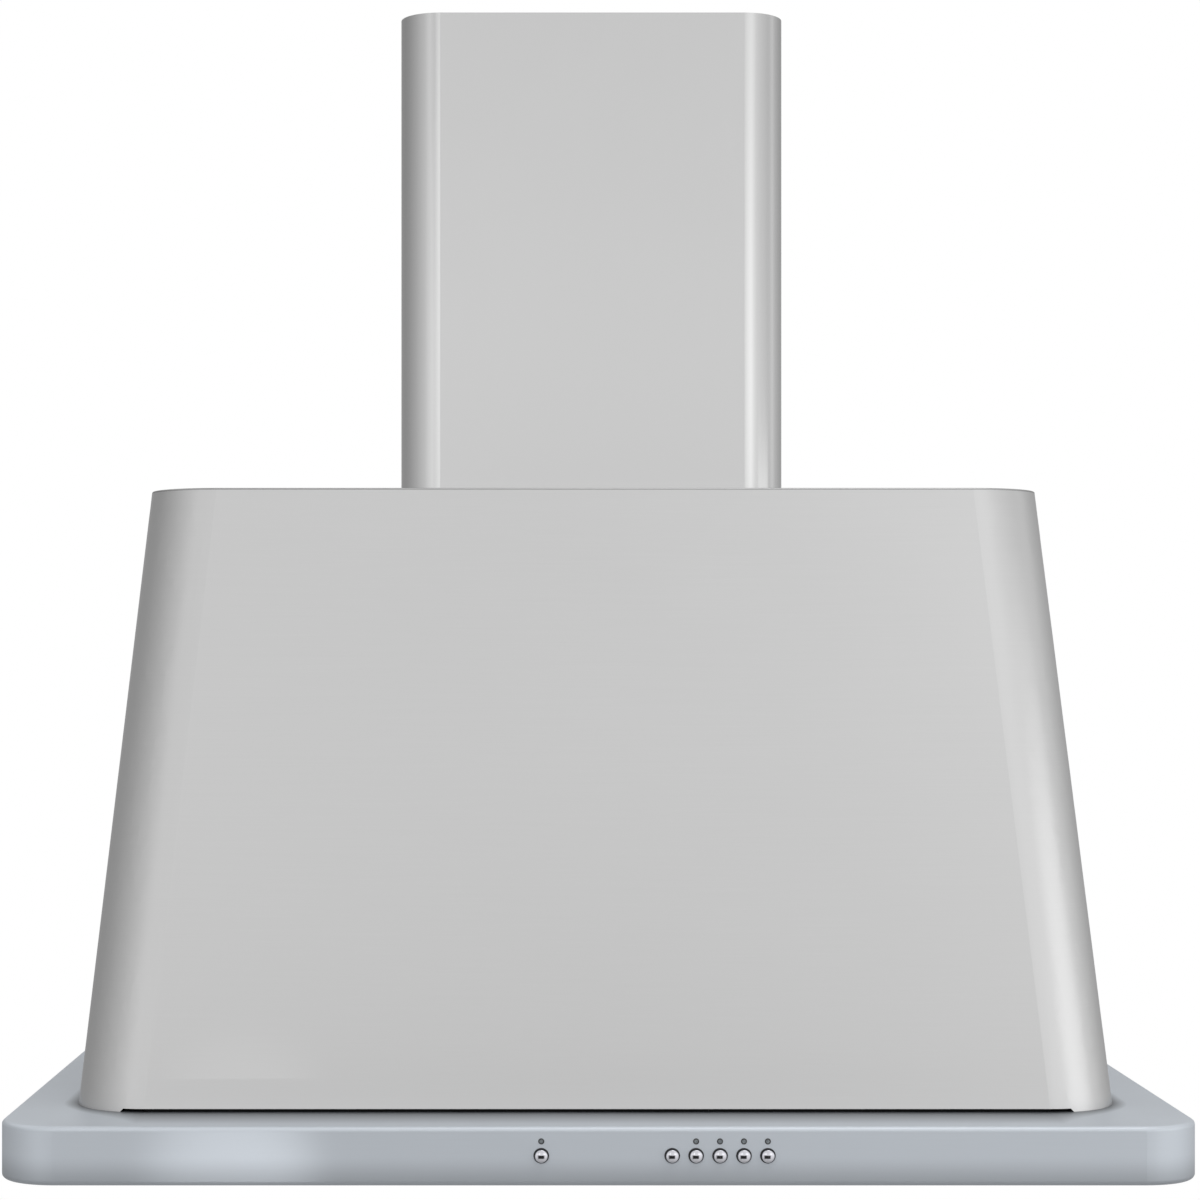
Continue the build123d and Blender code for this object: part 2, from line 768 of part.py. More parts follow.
def damper_flap(toward, knuckles):
    """Half-round leaf on its knuckles; toward is -1 for the front leaf, 1 for the rear one."""
    relief = knuckle_r + seat_gap
    with BuildPart() as leaf:
        with BuildSketch(Plane.XY.offset(hinge_z - damper_leaf / 2)):
            with Locations((0, duct_y)):
                Circle(leaf_r)
            with Locations((0, duct_y - toward * (leaf_r - relief))):
                Rectangle(2 * leaf_r, 2 * leaf_r, mode=Mode.SUBTRACT)
            for low, high in knuckles:
                with Locations(((low + high) / 2, duct_y + toward * relief)):
                    Rectangle(high - low, relief)
        extrude(amount=damper_leaf)
        for low, high in knuckles:
            with BuildSketch(Plane.YZ.offset(low)):
                with Locations((duct_y, hinge_z)):
                    Circle(knuckle_r)
            extrude(amount=high - low)
        with BuildSketch(Plane.YZ.offset(-collar_r)):
            with Locations((duct_y, hinge_z)):
                Circle(knuckle_bore)
        extrude(amount=2 * collar_r, mode=Mode.SUBTRACT)
    return leaf


flap_front = damper_flap(-1, front_knuckles)
keep(flap_front, "flap_front")
flap_rear = damper_flap(1, rear_knuckles)
keep(flap_rear, "flap_rear")

# ---------------------------------------------------------------- blower housing
mouth_front = duct_y - outlet_depth / 2


def scroll_outline(station, growth):
    """The scroll's inside outline across the shaft, grown by the sheet's thickness where asked."""
    with BuildSketch(Plane.YZ.offset(station)) as outline:
        with BuildLine():
            top = Line((mouth_front, shaft_z + scroll_r), (shaft_y, shaft_z + scroll_r))
            first = JernArc(top @ 1, (-1, 0), scroll_radii[0], quarter_turn)
            second = JernArc(first @ 1, (0, -1), scroll_radii[1], quarter_turn)
            third = JernArc(second @ 1, (1, 0), scroll_radii[2], quarter_turn)
            Polyline(third @ 1, (mouth_front + outlet_depth, mouth_z), (mouth_front, mouth_z), top @ 0)
        make_face()
        tongue = outline.vertices().sort_by_distance((mouth_front, shaft_z + scroll_r, 0))[0]
        fillet(tongue, tongue_r)
        if growth:
            offset(amount=growth, kind=Kind.INTERSECTION)
    return outline.sketch


def scroll_body(station, width, growth):
    """The scroll as a block along the shaft, cut off level with its mouth."""
    with BuildPart() as block:
        extrude(scroll_outline(station, growth), amount=width)
        with Locations((station + width / 2, shaft_y, mouth_z)):
            Box(
                2 * width,
                4 * outlet_depth,
                4 * sheet,
                align=(Align.CENTER, Align.CENTER, Align.MIN),
                mode=Mode.SUBTRACT,
            )
    return block.part


scroll_outside = scroll_body(-outlet_width / 2, outlet_width, sheet)
scroll_inside = scroll_body(-outlet_width / 2, outlet_width, 0)
with BuildPart() as blower_wrap:
    add(scroll_outside)
    add(scroll_inside, mode=Mode.SUBTRACT)
keep(blower_wrap, "blower_wrap")

mount_places = [
    (
        shaft_y + mount_circle_r * math.cos(math.radians(angle)),
        shaft_z + mount_circle_r * math.sin(math.radians(angle)),
    )
    for angle in mount_angles
]
for name, side in (("left", -1), ("right", 1)):
    plate_start = outlet_width / 2 if side > 0 else -outlet_width / 2 - sheet
    side_plate = scroll_body(plate_start, sheet, sheet)
    with BuildPart() as blower_plate:
        add(side_plate)
        with BuildSketch(Plane.YZ.offset(side * outlet_width / 2)):
            with Locations((shaft_y, shaft_z)):
                Circle(inlet_r + 2 * sheet)
        extrude(amount=side * (sheet + inlet_lip))
        fillet(blower_plate.faces().sort_by(Axis.X)[-1 if side > 0 else 0].edges(), sheet)
        with BuildSketch(Plane.YZ.offset(side * outlet_width / 2)):
            with Locations((shaft_y, shaft_z)):
                Circle(inlet_r)
        extrude(amount=side * (2 * sheet + inlet_lip), mode=Mode.SUBTRACT)
    keep(blower_plate, f"blower_plate_{name}")

# ---------------------------------------------------------------- outlet transition
housing_width = outlet_width + 2 * sheet
housing_depth = outlet_depth + 2 * sheet
neck_z = canopy_rim - neck_height


def transition_block(inset, top):
    """Rectangular mouth that turns into the round neck."""
    with BuildSketch(Plane.XY.offset(mouth_z)) as mouth:
        with Locations((0, duct_y)):
            RectangleRounded(housing_width - 2 * inset, housing_depth - 2 * inset, transition_corner_r)
    with BuildSketch(Plane.XY.offset(neck_z)) as neck:
        with Locations((0, duct_y)):
            Circle(collar_r - inset)
    with BuildPart() as block:
        loft([mouth.sketch, neck.sketch])
        extrude(neck.sketch, amount=top - neck_z)
    return block.part


transition_outside = transition_block(0, canopy_rim)
transition_inside = transition_block(sheet, canopy_rim)
with BuildPart() as outlet_transition:
    add(transition_outside)
    with BuildSketch(Plane.XY.offset(canopy_rim - sheet)):
        with Locations((0, duct_y)):
            Circle(collar_r + collar_flange)
    extrude(amount=sheet)
    add(transition_inside, mode=Mode.SUBTRACT)
    with Locations(*collar_screws):
        Hole(screw_r + screw_clearance, 6 * sheet)
keep(outlet_transition, "outlet_transition")

# ---------------------------------------------------------------- motor, its bracket and rubber mounts
plate_face = outlet_width / 2 + sheet
bracket_x = -(plate_face + mount_height)
with BuildPart() as motor_body:
    with BuildSketch(Plane.YZ.offset(bracket_x)):
        with Locations((shaft_y, shaft_z)):
            Circle(motor_r)
    extrude(amount=motor_length)
    fillet(motor_body.edges().filter_by(GeomType.CIRCLE), 4 * sheet)
    with BuildSketch(Plane.YZ.offset(bracket_x + motor_length)):
        with Locations((shaft_y, shaft_z)):
            Circle(shaft_r + running_gap)
    extrude(amount=-motor_length / 2, mode=Mode.SUBTRACT)
keep(motor_body, "motor_body")

with BuildPart() as motor_bracket:
    with BuildSketch(Plane.YZ.offset(bracket_x)):
        with Locations((shaft_y, shaft_z)):
            Circle(motor_r)
            for angle in mount_angles:
                Rectangle(
                    mount_circle_r, bracket_arm, rotation=angle, align=(Align.MIN, Align.CENTER)
                )
        with Locations(*mount_places):
            Circle(bracket_arm / 2)
        with Locations((shaft_y, shaft_z)):
            Circle(motor_r / 2, mode=Mode.SUBTRACT)
    extrude(amount=-bracket_thickness)
keep(motor_bracket, "motor_bracket")

with BuildPart() as motor_mounts:
    with BuildSketch(Plane.YZ.offset(bracket_x)):
        with Locations(*mount_places):
            Circle(mount_r)
    extrude(amount=mount_height)
keep(motor_mounts, "motor_mounts")

# ---------------------------------------------------------------- fan wheel and shaft
blade_depth = wheel_r - wheel_inner_r
with BuildPart() as impeller:
    with BuildSketch(Plane.YZ.offset(-wheel_sheet)):
        with Locations((shaft_y, shaft_z)):
            Circle(wheel_r)
    extrude(amount=2 * wheel_sheet)
    with BuildSketch(Plane.YZ.offset(-wheel_half)):
        with Locations((shaft_y, shaft_z)):
            with PolarLocations(wheel_inner_r + blade_depth / 2, wheel_blades):
                Rectangle(blade_depth - wheel_sheet, wheel_sheet, rotation=blade_angle)
    extrude(amount=2 * wheel_half)
    for end in (-wheel_half, wheel_half - 2 * wheel_sheet):
        with BuildSketch(Plane.YZ.offset(end)):
            with Locations((shaft_y, shaft_z)):
                Circle(wheel_r)
                Circle(wheel_inner_r + blade_depth / 3, mode=Mode.SUBTRACT)
        extrude(amount=2 * wheel_sheet)
    with BuildSketch(Plane.YZ.offset(seat_gap - motor_nose)):
        with Locations((shaft_y, shaft_z)):
            Circle(hub_r)
    extrude(amount=motor_nose + hub_r)
    with BuildSketch(Plane.YZ.offset(-motor_nose)):
        with Locations((shaft_y, shaft_z)):
            Circle(shaft_r)
    extrude(amount=2 * motor_nose + 2 * hub_r, mode=Mode.SUBTRACT)
keep(impeller, "impeller")

shaft_start = bracket_x + motor_length - motor_length / 2 + seat_gap
with BuildPart() as motor_shaft:
    with BuildSketch(Plane.YZ.offset(shaft_start)):
        with Locations((shaft_y, shaft_z)):
            Circle(shaft_r)
    extrude(amount=hub_r + shaft_r - shaft_start)
keep(motor_shaft, "motor_shaft")

# ---------------------------------------------------------------- junction box, gland, driver, capacitor
box_top = canopy_top - box_drop
box_centre_x = box_x + box_width / 2
box_centre_z = box_top - box_height / 2
with BuildPart() as junction_box:
    with Locations((box_centre_x, canopy_back, box_centre_z)):
        Box(box_width, box_depth, box_height, align=(Align.CENTER, Align.MAX, Align.CENTER))
    fillet(junction_box.edges().filter_by(Axis.Y), box_wall)
    with Locations((box_centre_x, canopy_back - box_wall, box_centre_z)):
        Box(
            box_width - 2 * box_wall,
            box_depth,
            box_height - 2 * box_wall,
            align=(Align.CENTER, Align.MAX, Align.CENTER),
            mode=Mode.SUBTRACT,
        )
keep(junction_box, "junction_box")

with BuildPart() as junction_box_lid:
    with Locations((box_centre_x, canopy_back - box_depth, box_centre_z)):
        Box(box_width, box_wall, box_height, align=(Align.CENTER, Align.MAX, Align.CENTER))
    fillet(junction_box_lid.edges().filter_by(Axis.Y), box_wall)
keep(junction_box_lid, "junction_box_lid")

with BuildPart() as mains_gland:
    with BuildSketch(Plane.XY.offset(canopy_top)):
        with Locations((gland_x, -gland_back)):
            RegularPolygon(gland_nut_r, 6)
    extrude(amount=gland_height)
    chamfer(mains_gland.faces().sort_by(Axis.Z)[-1].edges(), sheet)
    with BuildSketch(Plane.XY.offset(canopy_top)):
        with Locations((gland_x, -gland_back)):
            Circle(gland_thread_r)
    extrude(amount=-(top_plate_thickness + gland_nut))
    with BuildSketch(Plane.XY.offset(canopy_rim)):
        with Locations((gland_x, -gland_back)):
            RegularPolygon(gland_nut_r, 6)
    extrude(amount=-gland_nut)
    with Locations((gland_x, -gland_back, canopy_top)):
        Hole(gland_bore_r, 2 * gland_height)
keep(mains_gland, "mains_gland")

with BuildPart() as led_driver:
    with Locations((driver_x, canopy_back, canopy_top - driver_drop)):
        Box(driver_width, driver_depth, driver_height, align=(Align.MIN, Align.MAX, Align.MAX))
    fillet(led_driver.edges().filter_by(Axis.Y), 2 * sheet)
keep(led_driver, "led_driver")

capacitor_y = canopy_back - sheet - capacitor_r
capacitor_z = canopy_top - capacitor_drop
with BuildPart() as capacitor:
    with BuildSketch(Plane.YZ.offset(capacitor_x - capacitor_length / 2)):
        with Locations((capacitor_y, capacitor_z)):
            Circle(capacitor_r)
    extrude(amount=capacitor_length)
    fillet(capacitor.edges().filter_by(GeomType.CIRCLE), sheet)
keep(capacitor, "capacitor")

clip_width = capacitor_r
with BuildPart() as capacitor_clip:
    with Locations((capacitor_x, canopy_back, capacitor_z)):
        Box(clip_width, sheet, 4 * capacitor_r, align=(Align.CENTER, Align.MAX, Align.CENTER))
    with BuildSketch(Plane.YZ.offset(capacitor_x - clip_width / 2)):
        with Locations((capacitor_y, capacitor_z)):
            Circle(capacitor_r + sheet)
            Rectangle(sheet + capacitor_r, 2 * (capacitor_r + sheet), align=(Align.MIN, Align.CENTER))
        with Locations((canopy_back, capacitor_z)):
            Rectangle(capacitor_r, 4 * capacitor_r, align=(Align.MIN, Align.CENTER), mode=Mode.SUBTRACT)
    extrude(amount=clip_width)
    with BuildSketch(Plane.YZ.offset(capacitor_x - clip_width / 2)):
        with Locations((capacitor_y, capacitor_z)):
            Circle(capacitor_r)
    extrude(amount=clip_width, mode=Mode.SUBTRACT)
keep(capacitor_clip, "capacitor_clip")

# ---------------------------------------------------------------- controls behind the tray's front
box_left = button_light_x - control_box_margin
box_right = button_row[-1] + control_box_margin
controls_x = (box_left + box_right) / 2
controls_z = tray_foot_r + seat_gap + control_box_height / 2
board_face = front_inside + board_back
with BuildPart() as control_box:
    with Locations((controls_x, front_inside, controls_z)):
        Box(
            box_right - box_left,
            control_box_depth,
            control_box_height,
            align=(Align.CENTER, Align.MIN, Align.CENTER),
        )
        Box(
            box_right - box_left - 2 * control_box_wall,
            control_box_depth - control_box_wall,
            control_box_height - 2 * control_box_wall,
            align=(Align.CENTER, Align.MIN, Align.CENTER),
            mode=Mode.SUBTRACT,
        )
keep(control_box, "control_box")

with BuildPart() as control_board:
    with Locations((controls_x, board_face, controls_z)):
        Box(
            box_right - box_left - 2 * (control_box_wall + seat_gap),
            board_thickness,
            control_box_height - 2 * (control_box_wall + seat_gap),
            align=(Align.CENTER, Align.MIN, Align.CENTER),
        )
keep(control_board, "control_board")

with BuildPart() as switch_bodies:
    with Locations(*[(x, board_face, button_rise - seat_gap) for x in button_places]):
        Box(switch_size, switch_depth, switch_size, align=(Align.CENTER, Align.MAX, Align.CENTER))
keep(switch_bodies, "switch_bodies")

led_length = board_back + sheet + seat_gap
with BuildPart() as led_indicators:
    with BuildSketch(facing_front(0, board_face, 0)):
        with Locations(*[(x, led_rise) for x in led_places]):
            Circle(led_r)
    extrude(amount=led_length)
    fillet(led_indicators.faces().filter_by(Axis.Y).group_by(Axis.Y)[0].edges(), led_r / 2)
keep(led_indicators, "led_indicators")

with BuildPart() as button_guides:
    with BuildSketch(facing_front(0, front_inside + guide_length, 0)):
        with Locations(*[(x, button_rise) for x in button_places]):
            Circle(guide_r)
    extrude(amount=guide_length + sheet + seat_gap / 2)
    with BuildSketch(facing_front(0, front_inside + guide_flange, 0)):
        with Locations(*[(x, button_rise) for x in button_places]):
            Circle(guide_flange_r)
    extrude(amount=guide_flange)
    with BuildSketch(facing_front(0, front_inside + guide_length, 0)):
        with Locations(*[(x, button_rise) for x in button_places]):
            Circle(guide_r - guide_wall)
    extrude(amount=2 * guide_length, mode=Mode.SUBTRACT)
keep(button_guides, "button_guides")

# ---------------------------------------------------------------- push buttons
guide_end = front_inside + guide_length
collar_start = guide_end + seat_gap
stem_end = board_face - switch_depth - button_travel - seat_gap
button_names = ["light"] + [f"speed_{step}" for step in range(button_count)]
for name, x in zip(button_names, button_places):
    shoulder = front_face - button_proud + button_dome
    with BuildPart() as button:
        with BuildSketch(Plane.XY.offset(button_rise)):
            with BuildLine():
                dome = SagittaArc(
                    (x, front_face - button_proud), (x + button_r, shoulder), -button_dome / 4
                )
                Polyline(
                    dome @ 1,
                    (x + button_r, collar_start),
                    (x + button_collar_r, collar_start),
                    (x + button_collar_r, collar_start + guide_flange),
                    (x + button_stem_r, collar_start + guide_flange),
                    (x + button_stem_r, stem_end),
                    (x, stem_end),
                    dome @ 0,
                )
            make_face()
            fillet(vertices().sort_by_distance((x + button_r, shoulder))[0], button_edge_r)
        revolve(axis=Axis((x, 0, button_rise), (0, 1, 0)))
    keep(button, f"button_{name}")

# ---------------------------------------------------------------- lamps
sleeve_top = sheet + lamp_sleeve_height
with BuildPart() as lamp_bezels:
    with BuildSketch(Plane.XY.offset(sheet)):
        with Locations(*lamp_centres):
            Circle(lamp_bezel_r)
            Circle(lamp_lens_r - lamp_sleeve_wall / 2, mode=Mode.SUBTRACT)
    extrude(amount=-lamp_bezel_thickness)
    fillet(lamp_bezels.faces().sort_by(Axis.Z)[0:2].edges(), lamp_bezel_thickness / 3)
    with BuildSketch(Plane.XY.offset(sheet)):
        with Locations(*lamp_centres):
            Circle(lamp_sleeve_r)
            Circle(lamp_sleeve_r - lamp_sleeve_wall, mode=Mode.SUBTRACT)
    extrude(amount=lamp_sleeve_height)
keep(lamp_bezels, "lamp_bezels")

with BuildPart() as lamp_lenses:
    with BuildSketch(Plane.XY.offset(sheet)):
        with Locations(*lamp_centres):
            Circle(lamp_lens_r)
    extrude(amount=lamp_lens_thickness)
keep(lamp_lenses, "lamp_lenses")

boss_reach = lamp_sleeve_r + lamp_boss / 2
boss_z = sleeve_top + lamp_boss / 2
with BuildPart() as lamp_bodies:
    with BuildSketch(Plane.XY.offset(sleeve_top)):
        with Locations(*lamp_centres):
            Circle(lamp_sleeve_r)
    extrude(amount=lamp_body_height)
    with Locations(*[(x, y, sleeve_top + lamp_body_height) for x, y in lamp_centres]):
        with GridLocations(lamp_fin_pitch, 0, lamp_fin_slots, 1):
            Box(
                lamp_fin_pitch / 2,
                3 * lamp_sleeve_r,
                lamp_body_height,
                align=(Align.CENTER, Align.CENTER, Align.CENTER),
                mode=Mode.SUBTRACT,
            )
    for side, (x, y) in zip((-1, 1), lamp_centres):
        with Locations((x - side * boss_reach, y, boss_z)):
            Box(
                lamp_boss,
                lamp_boss,
                lamp_boss,
                align=(Align.MIN if side > 0 else Align.MAX, Align.CENTER, Align.CENTER),
            )
keep(lamp_bodies, "lamp_bodies")

# ---------------------------------------------------------------- leads
def lead(points, radii):
    """A round lead along straight runs joined by arcs."""
    with BuildPart() as tube:
        with BuildLine() as route:
            if radii:
                FilletPolyline(*points, radius=radii)
            else:
                Line(*points)
        path = route.wires()[0]
        with BuildSketch(Plane(origin=path @ 0, z_dir=path % 0)):
            Circle(lead_r)
        sweep(path=path)
    return tube


lead_y = -lead_wall_gap
motor_lead_x = bracket_x - lead_motor_reach
lead_motor = lead(
    [
        (box_x, lead_y, box_centre_z),
        (motor_lead_x, lead_y, box_centre_z),
        (motor_lead_x, shaft_y, shaft_z),
        (bracket_x, shaft_y, shaft_z),
    ],
    [lead_bend_r, lead_bend_r],
)
keep(lead_motor, "lead_motor")

controls_lead_z = tray_height + lead_r + seat_gap
under_tray_z = sleeve_top + lamp_body_height + lead_r + seat_gap
control_lead_y = front_inside + control_box_depth / 2
lead_controls = lead(
    [
        (box_x + box_width, lead_y, box_centre_z),
        (canopy_half(box_centre_z) - lead_side_gap, lead_y, box_centre_z),
        (canopy_half(controls_lead_z) - lead_side_gap, lead_y, controls_lead_z),
        (canopy_half(controls_lead_z) - lead_side_gap, shelf_hole_y + lead_approach, controls_lead_z),
        (shelf_hole_x, shelf_hole_y, controls_lead_z),
        (shelf_hole_x, shelf_hole_y, under_tray_z),
        (box_right + lead_entry, control_lead_y, under_tray_z),
        (box_right, control_lead_y, under_tray_z),
    ],
    [lead_bend_r, lead_bend_r, lead_bend_r, lead_tight_r, lead_tight_r, lead_bend_r],
)
keep(lead_controls, "lead_controls")

with BuildPart() as leads_lamp:
    for side, end in ((-1, box_left), (1, box_right)):
        with BuildSketch(Plane.YZ.offset(side * (lamp_x - boss_reach))):
            with Locations((lamp_y, boss_z)):
                Circle(lead_r)
        extrude(amount=end - side * (lamp_x - boss_reach))
keep(leads_lamp, "leads_lamp")

# ---------------------------------------------------------------- screws
with BuildPart() as pan_screws:
    with Locations(*shelf_screws, *plate_screws, *collar_screws):
        Cylinder(screw_r, screw_length, align=(Align.CENTER, Align.CENTER, Align.MAX))
        Cylinder(screw_head_r, screw_head, align=(Align.CENTER, Align.CENTER, Align.MIN))
keep(pan_screws, "pan_screws")

with BuildPart() as short_screws:
    with Locations(*back_screws, *cover_screws):
        Cylinder(screw_r, short_screw_length, align=(Align.CENTER, Align.CENTER, Align.MAX))
        Cylinder(screw_head_r, screw_head, align=(Align.CENTER, Align.CENTER, Align.MIN))
keep(short_screws, "short_screws")

with BuildPart() as countersunk_screws:
    with Locations(*rim_screws):
        Cylinder(rim_screw_r, rim_screw_length, align=(Align.CENTER, Align.CENTER, Align.MAX))
        Cone(rim_screw_r, rim_screw_head_r, sheet, align=(Align.CENTER, Align.CENTER, Align.MAX))
    with Locations(*flush_screws):
        Cylinder(screw_r, screw_length, align=(Align.CENTER, Align.CENTER, Align.MAX))
        Cone(screw_r, flush_head_r, top_plate_thickness, align=(Align.CENTER, Align.CENTER, Align.MAX))
keep(countersunk_screws, "countersunk_screws")
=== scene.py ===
import json
import math

import bmesh
import bpy
from mathutils import Matrix, Vector


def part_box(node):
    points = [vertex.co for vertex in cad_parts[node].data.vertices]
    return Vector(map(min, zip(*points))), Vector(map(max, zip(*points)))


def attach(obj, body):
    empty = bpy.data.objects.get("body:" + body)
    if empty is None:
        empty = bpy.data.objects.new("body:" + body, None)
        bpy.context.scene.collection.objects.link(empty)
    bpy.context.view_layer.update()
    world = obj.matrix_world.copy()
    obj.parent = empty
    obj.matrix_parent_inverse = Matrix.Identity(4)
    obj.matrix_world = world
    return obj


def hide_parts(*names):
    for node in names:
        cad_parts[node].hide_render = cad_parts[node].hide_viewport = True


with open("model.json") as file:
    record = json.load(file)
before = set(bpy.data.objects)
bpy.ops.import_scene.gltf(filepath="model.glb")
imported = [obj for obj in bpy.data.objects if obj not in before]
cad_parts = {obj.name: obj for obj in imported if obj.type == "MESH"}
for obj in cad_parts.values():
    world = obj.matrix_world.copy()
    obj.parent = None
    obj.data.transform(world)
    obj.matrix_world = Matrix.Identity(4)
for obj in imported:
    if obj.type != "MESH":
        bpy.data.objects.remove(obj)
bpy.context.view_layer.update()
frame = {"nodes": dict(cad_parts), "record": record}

# A wall-hung chimney range hood, in metres: +Z is up, the front faces -Y, the wall is the plane Y = 0.
nodes = frame["nodes"]
MM = 0.001
WHITE = (1.0, 1.0, 1.0, 1.0)
weld_distance = 0.001 * MM  # corners closer than this become one


def corners(node):
    """Lowest and highest corner of a CAD node."""
    low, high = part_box(node)
    return Vector(low), Vector(high)


def put_in_scene(item):
    bpy.context.scene.collection.objects.link(item)


# ---------------------------------------------------------------- camera
camera_left = 0.060
camera_distance = 2.572
camera_height = 0.3717
camera_lens = 84.0
camera_sensor = 36.0
camera_reach = 100.0
horizon_below_centre = 84 / 1200    # share of the frame's side
sight_left_of_centre = 81.3 / 1200

camera_data = bpy.data.cameras.new("photo_camera")
camera_data.lens = camera_lens
camera_data.sensor_width = camera_sensor
camera_data.shift_x = sight_left_of_centre
camera_data.shift_y = horizon_below_centre
camera_data.clip_end = camera_reach
camera = bpy.data.objects.new("photo_camera", camera_data)
camera.location = (-camera_left, -camera_distance, camera_height)
camera.rotation_euler = (math.radians(90), 0.0, 0.0)
put_in_scene(camera)
bpy.context.scene.camera = camera
bpy.context.scene.view_settings.view_transform = "Standard"


# ---------------------------------------------------------------- colours and node helpers
def tone(red, green, blue):
    """A linear colour from the 0-255 values that a screen shows."""
    def linear(value):
        share = value / 255
        return share / 12.92 if share <= 0.04045 else ((share + 0.055) / 1.055) ** 2.4
    return (linear(red), linear(green), linear(blue), 1.0)


def scaled(colour, factor, lift=0.0):
    """A colour made darker or lighter by a factor, up to white."""
    return tuple(min(1.0, part * factor + lift) for part in colour[:3]) + (1.0,)


class Graph:
    """Short calls for the nodes of one material, world or node group."""

    def __init__(self, tree):
        self.tree = tree

    def node(self, kind, settings=None, **inputs):
        made = self.tree.nodes.new(kind)
        for key, value in (settings or {}).items():
            setattr(made, key, value)
        for key, value in inputs.items():
            self.feed(made, key, value)
        return made

    def feed(self, node, name, value):
        """Links or sets an input, given by its name or, as _0 or _1, by its place."""
        socket = node.inputs[int(name[1:])] if name[0] == "_" else node.inputs[name.replace("_", " ")]
        if isinstance(value, bpy.types.NodeSocket):
            self.tree.links.new(value, socket)
        else:
            socket.default_value = value

    def math(self, operation, first, second=0.0, third=0.0):
        made = self.node("ShaderNodeMath", {"operation": operation}, _0=first, _1=second, _2=third)
        return made.outputs[0]

    def vector(self, operation, first, second=(0, 0, 0), third=(0, 0, 0)):
        settings = {"operation": operation}
        return self.node("ShaderNodeVectorMath", settings, _0=first, _1=second, _2=third)

    def ramp(self, factor, stops):
        """A grey that follows factor through (place, level) stops."""
        made = self.node("ShaderNodeValToRGB", Fac=factor)
        elements = made.color_ramp.elements
        while len(elements) < len(stops):
            elements.new(0.5)
        for element, (place, level) in zip(elements, stops):
            element.position = place
            element.color = (level, level, level, 1.0)
        return made.outputs["Color"]

    def span(self, value, low, high, to_low=0.0, to_high=1.0, smooth=False):
        """Value between low and high, moved to between to_low and to_high."""
        kind = "SMOOTHSTEP" if smooth else "LINEAR"
        made = self.node("ShaderNodeMapRange", {"interpolation_type": kind}, Value=value)
        for name, number in zip(("From Min", "From Max", "To Min", "To Max"), (low, high, to_low, to_high)):
            self.feed(made, name, number)
        return made.outputs["Result"]

    def mix(self, factor, first, second, blend="MIX"):
        made = self.node("ShaderNodeMix", {"data_type": "RGBA", "blend_type": blend})
        for place, value in ((0, factor), (6, first), (7, second)):
            self.feed(made, f"_{place}", value)
        return made.outputs[2]


# ---------------------------------------------------------------- studio
# The world is a plain light tent. Near the horizon its brightness follows the compass, in degrees from
# the camera's direction towards the right of the picture: that gives steel its darker left side and the
# light band on its right. Higher up it depends on the height alone, in front of the hood and behind it.
tent_compass = [
    (-180, 0.54), (-166, 0.46), (-150, 0.36), (-120, 0.40), (-105, 0.45), (-91, 0.52), (-75, 0.62),
    (-60, 0.74), (-48, 0.82), (-41, 0.92), (-34, 1.05), (-28, 0.99), (-22, 0.86), (-16, 0.85),
    (-11, 1.00), (9, 1.00), (15, 1.10), (20, 1.16), (28, 1.14), (36, 1.08), (44, 1.00), (54, 0.92),
    (66, 0.86), (76, 0.79), (85, 0.79), (92, 0.92), (98, 0.92), (106, 0.74), (125, 0.58), (150, 0.42),
    (166, 0.46), (180, 0.54),
]
# (degrees above the horizon, brightness)
tent_low = [
    (-90, 0.50), (-25, 0.72), (-10, 0.98), (0, 1.08), (6, 1.12), (11, 1.04), (18, 0.97), (90, 0.96),
]
tent_high_front = [(-90, 1.00), (50, 1.00), (68, 0.60), (90, 0.55)]
tent_high_back = [(-90, 0.70), (12, 0.70), (28, 0.92), (58, 1.00), (74, 0.60), (90, 0.55)]
tent_peak = 1.5             # the ramps hold brightness as a share of this
belt_top = (20, 38)         # degrees above the horizon where the compass stops to matter
front_to_back = (-0.2, 0.2)  # a direction's Y where the high tent turns from its front to its back
light_strip = (-13.0, -10.5, -8.0, -5.5)    # a tall narrow lamp to the left of the camera
strip_gain = 0.55
strip_reach = (0, 3, 12, 16)  # its foot and its head, in degrees above the horizon
dark_door = (15, 23)        # the unlit doorway that the camera stands in: degrees to each side
door_rise = (-25, -20, -5, 0)
door_level = 0.03
lintel_glow = 0.30          # the brighter wall over both sides of that doorway
glow_compass = (11, 14, 24, 32)
glow_rise = (-1, 3, 8, 13)


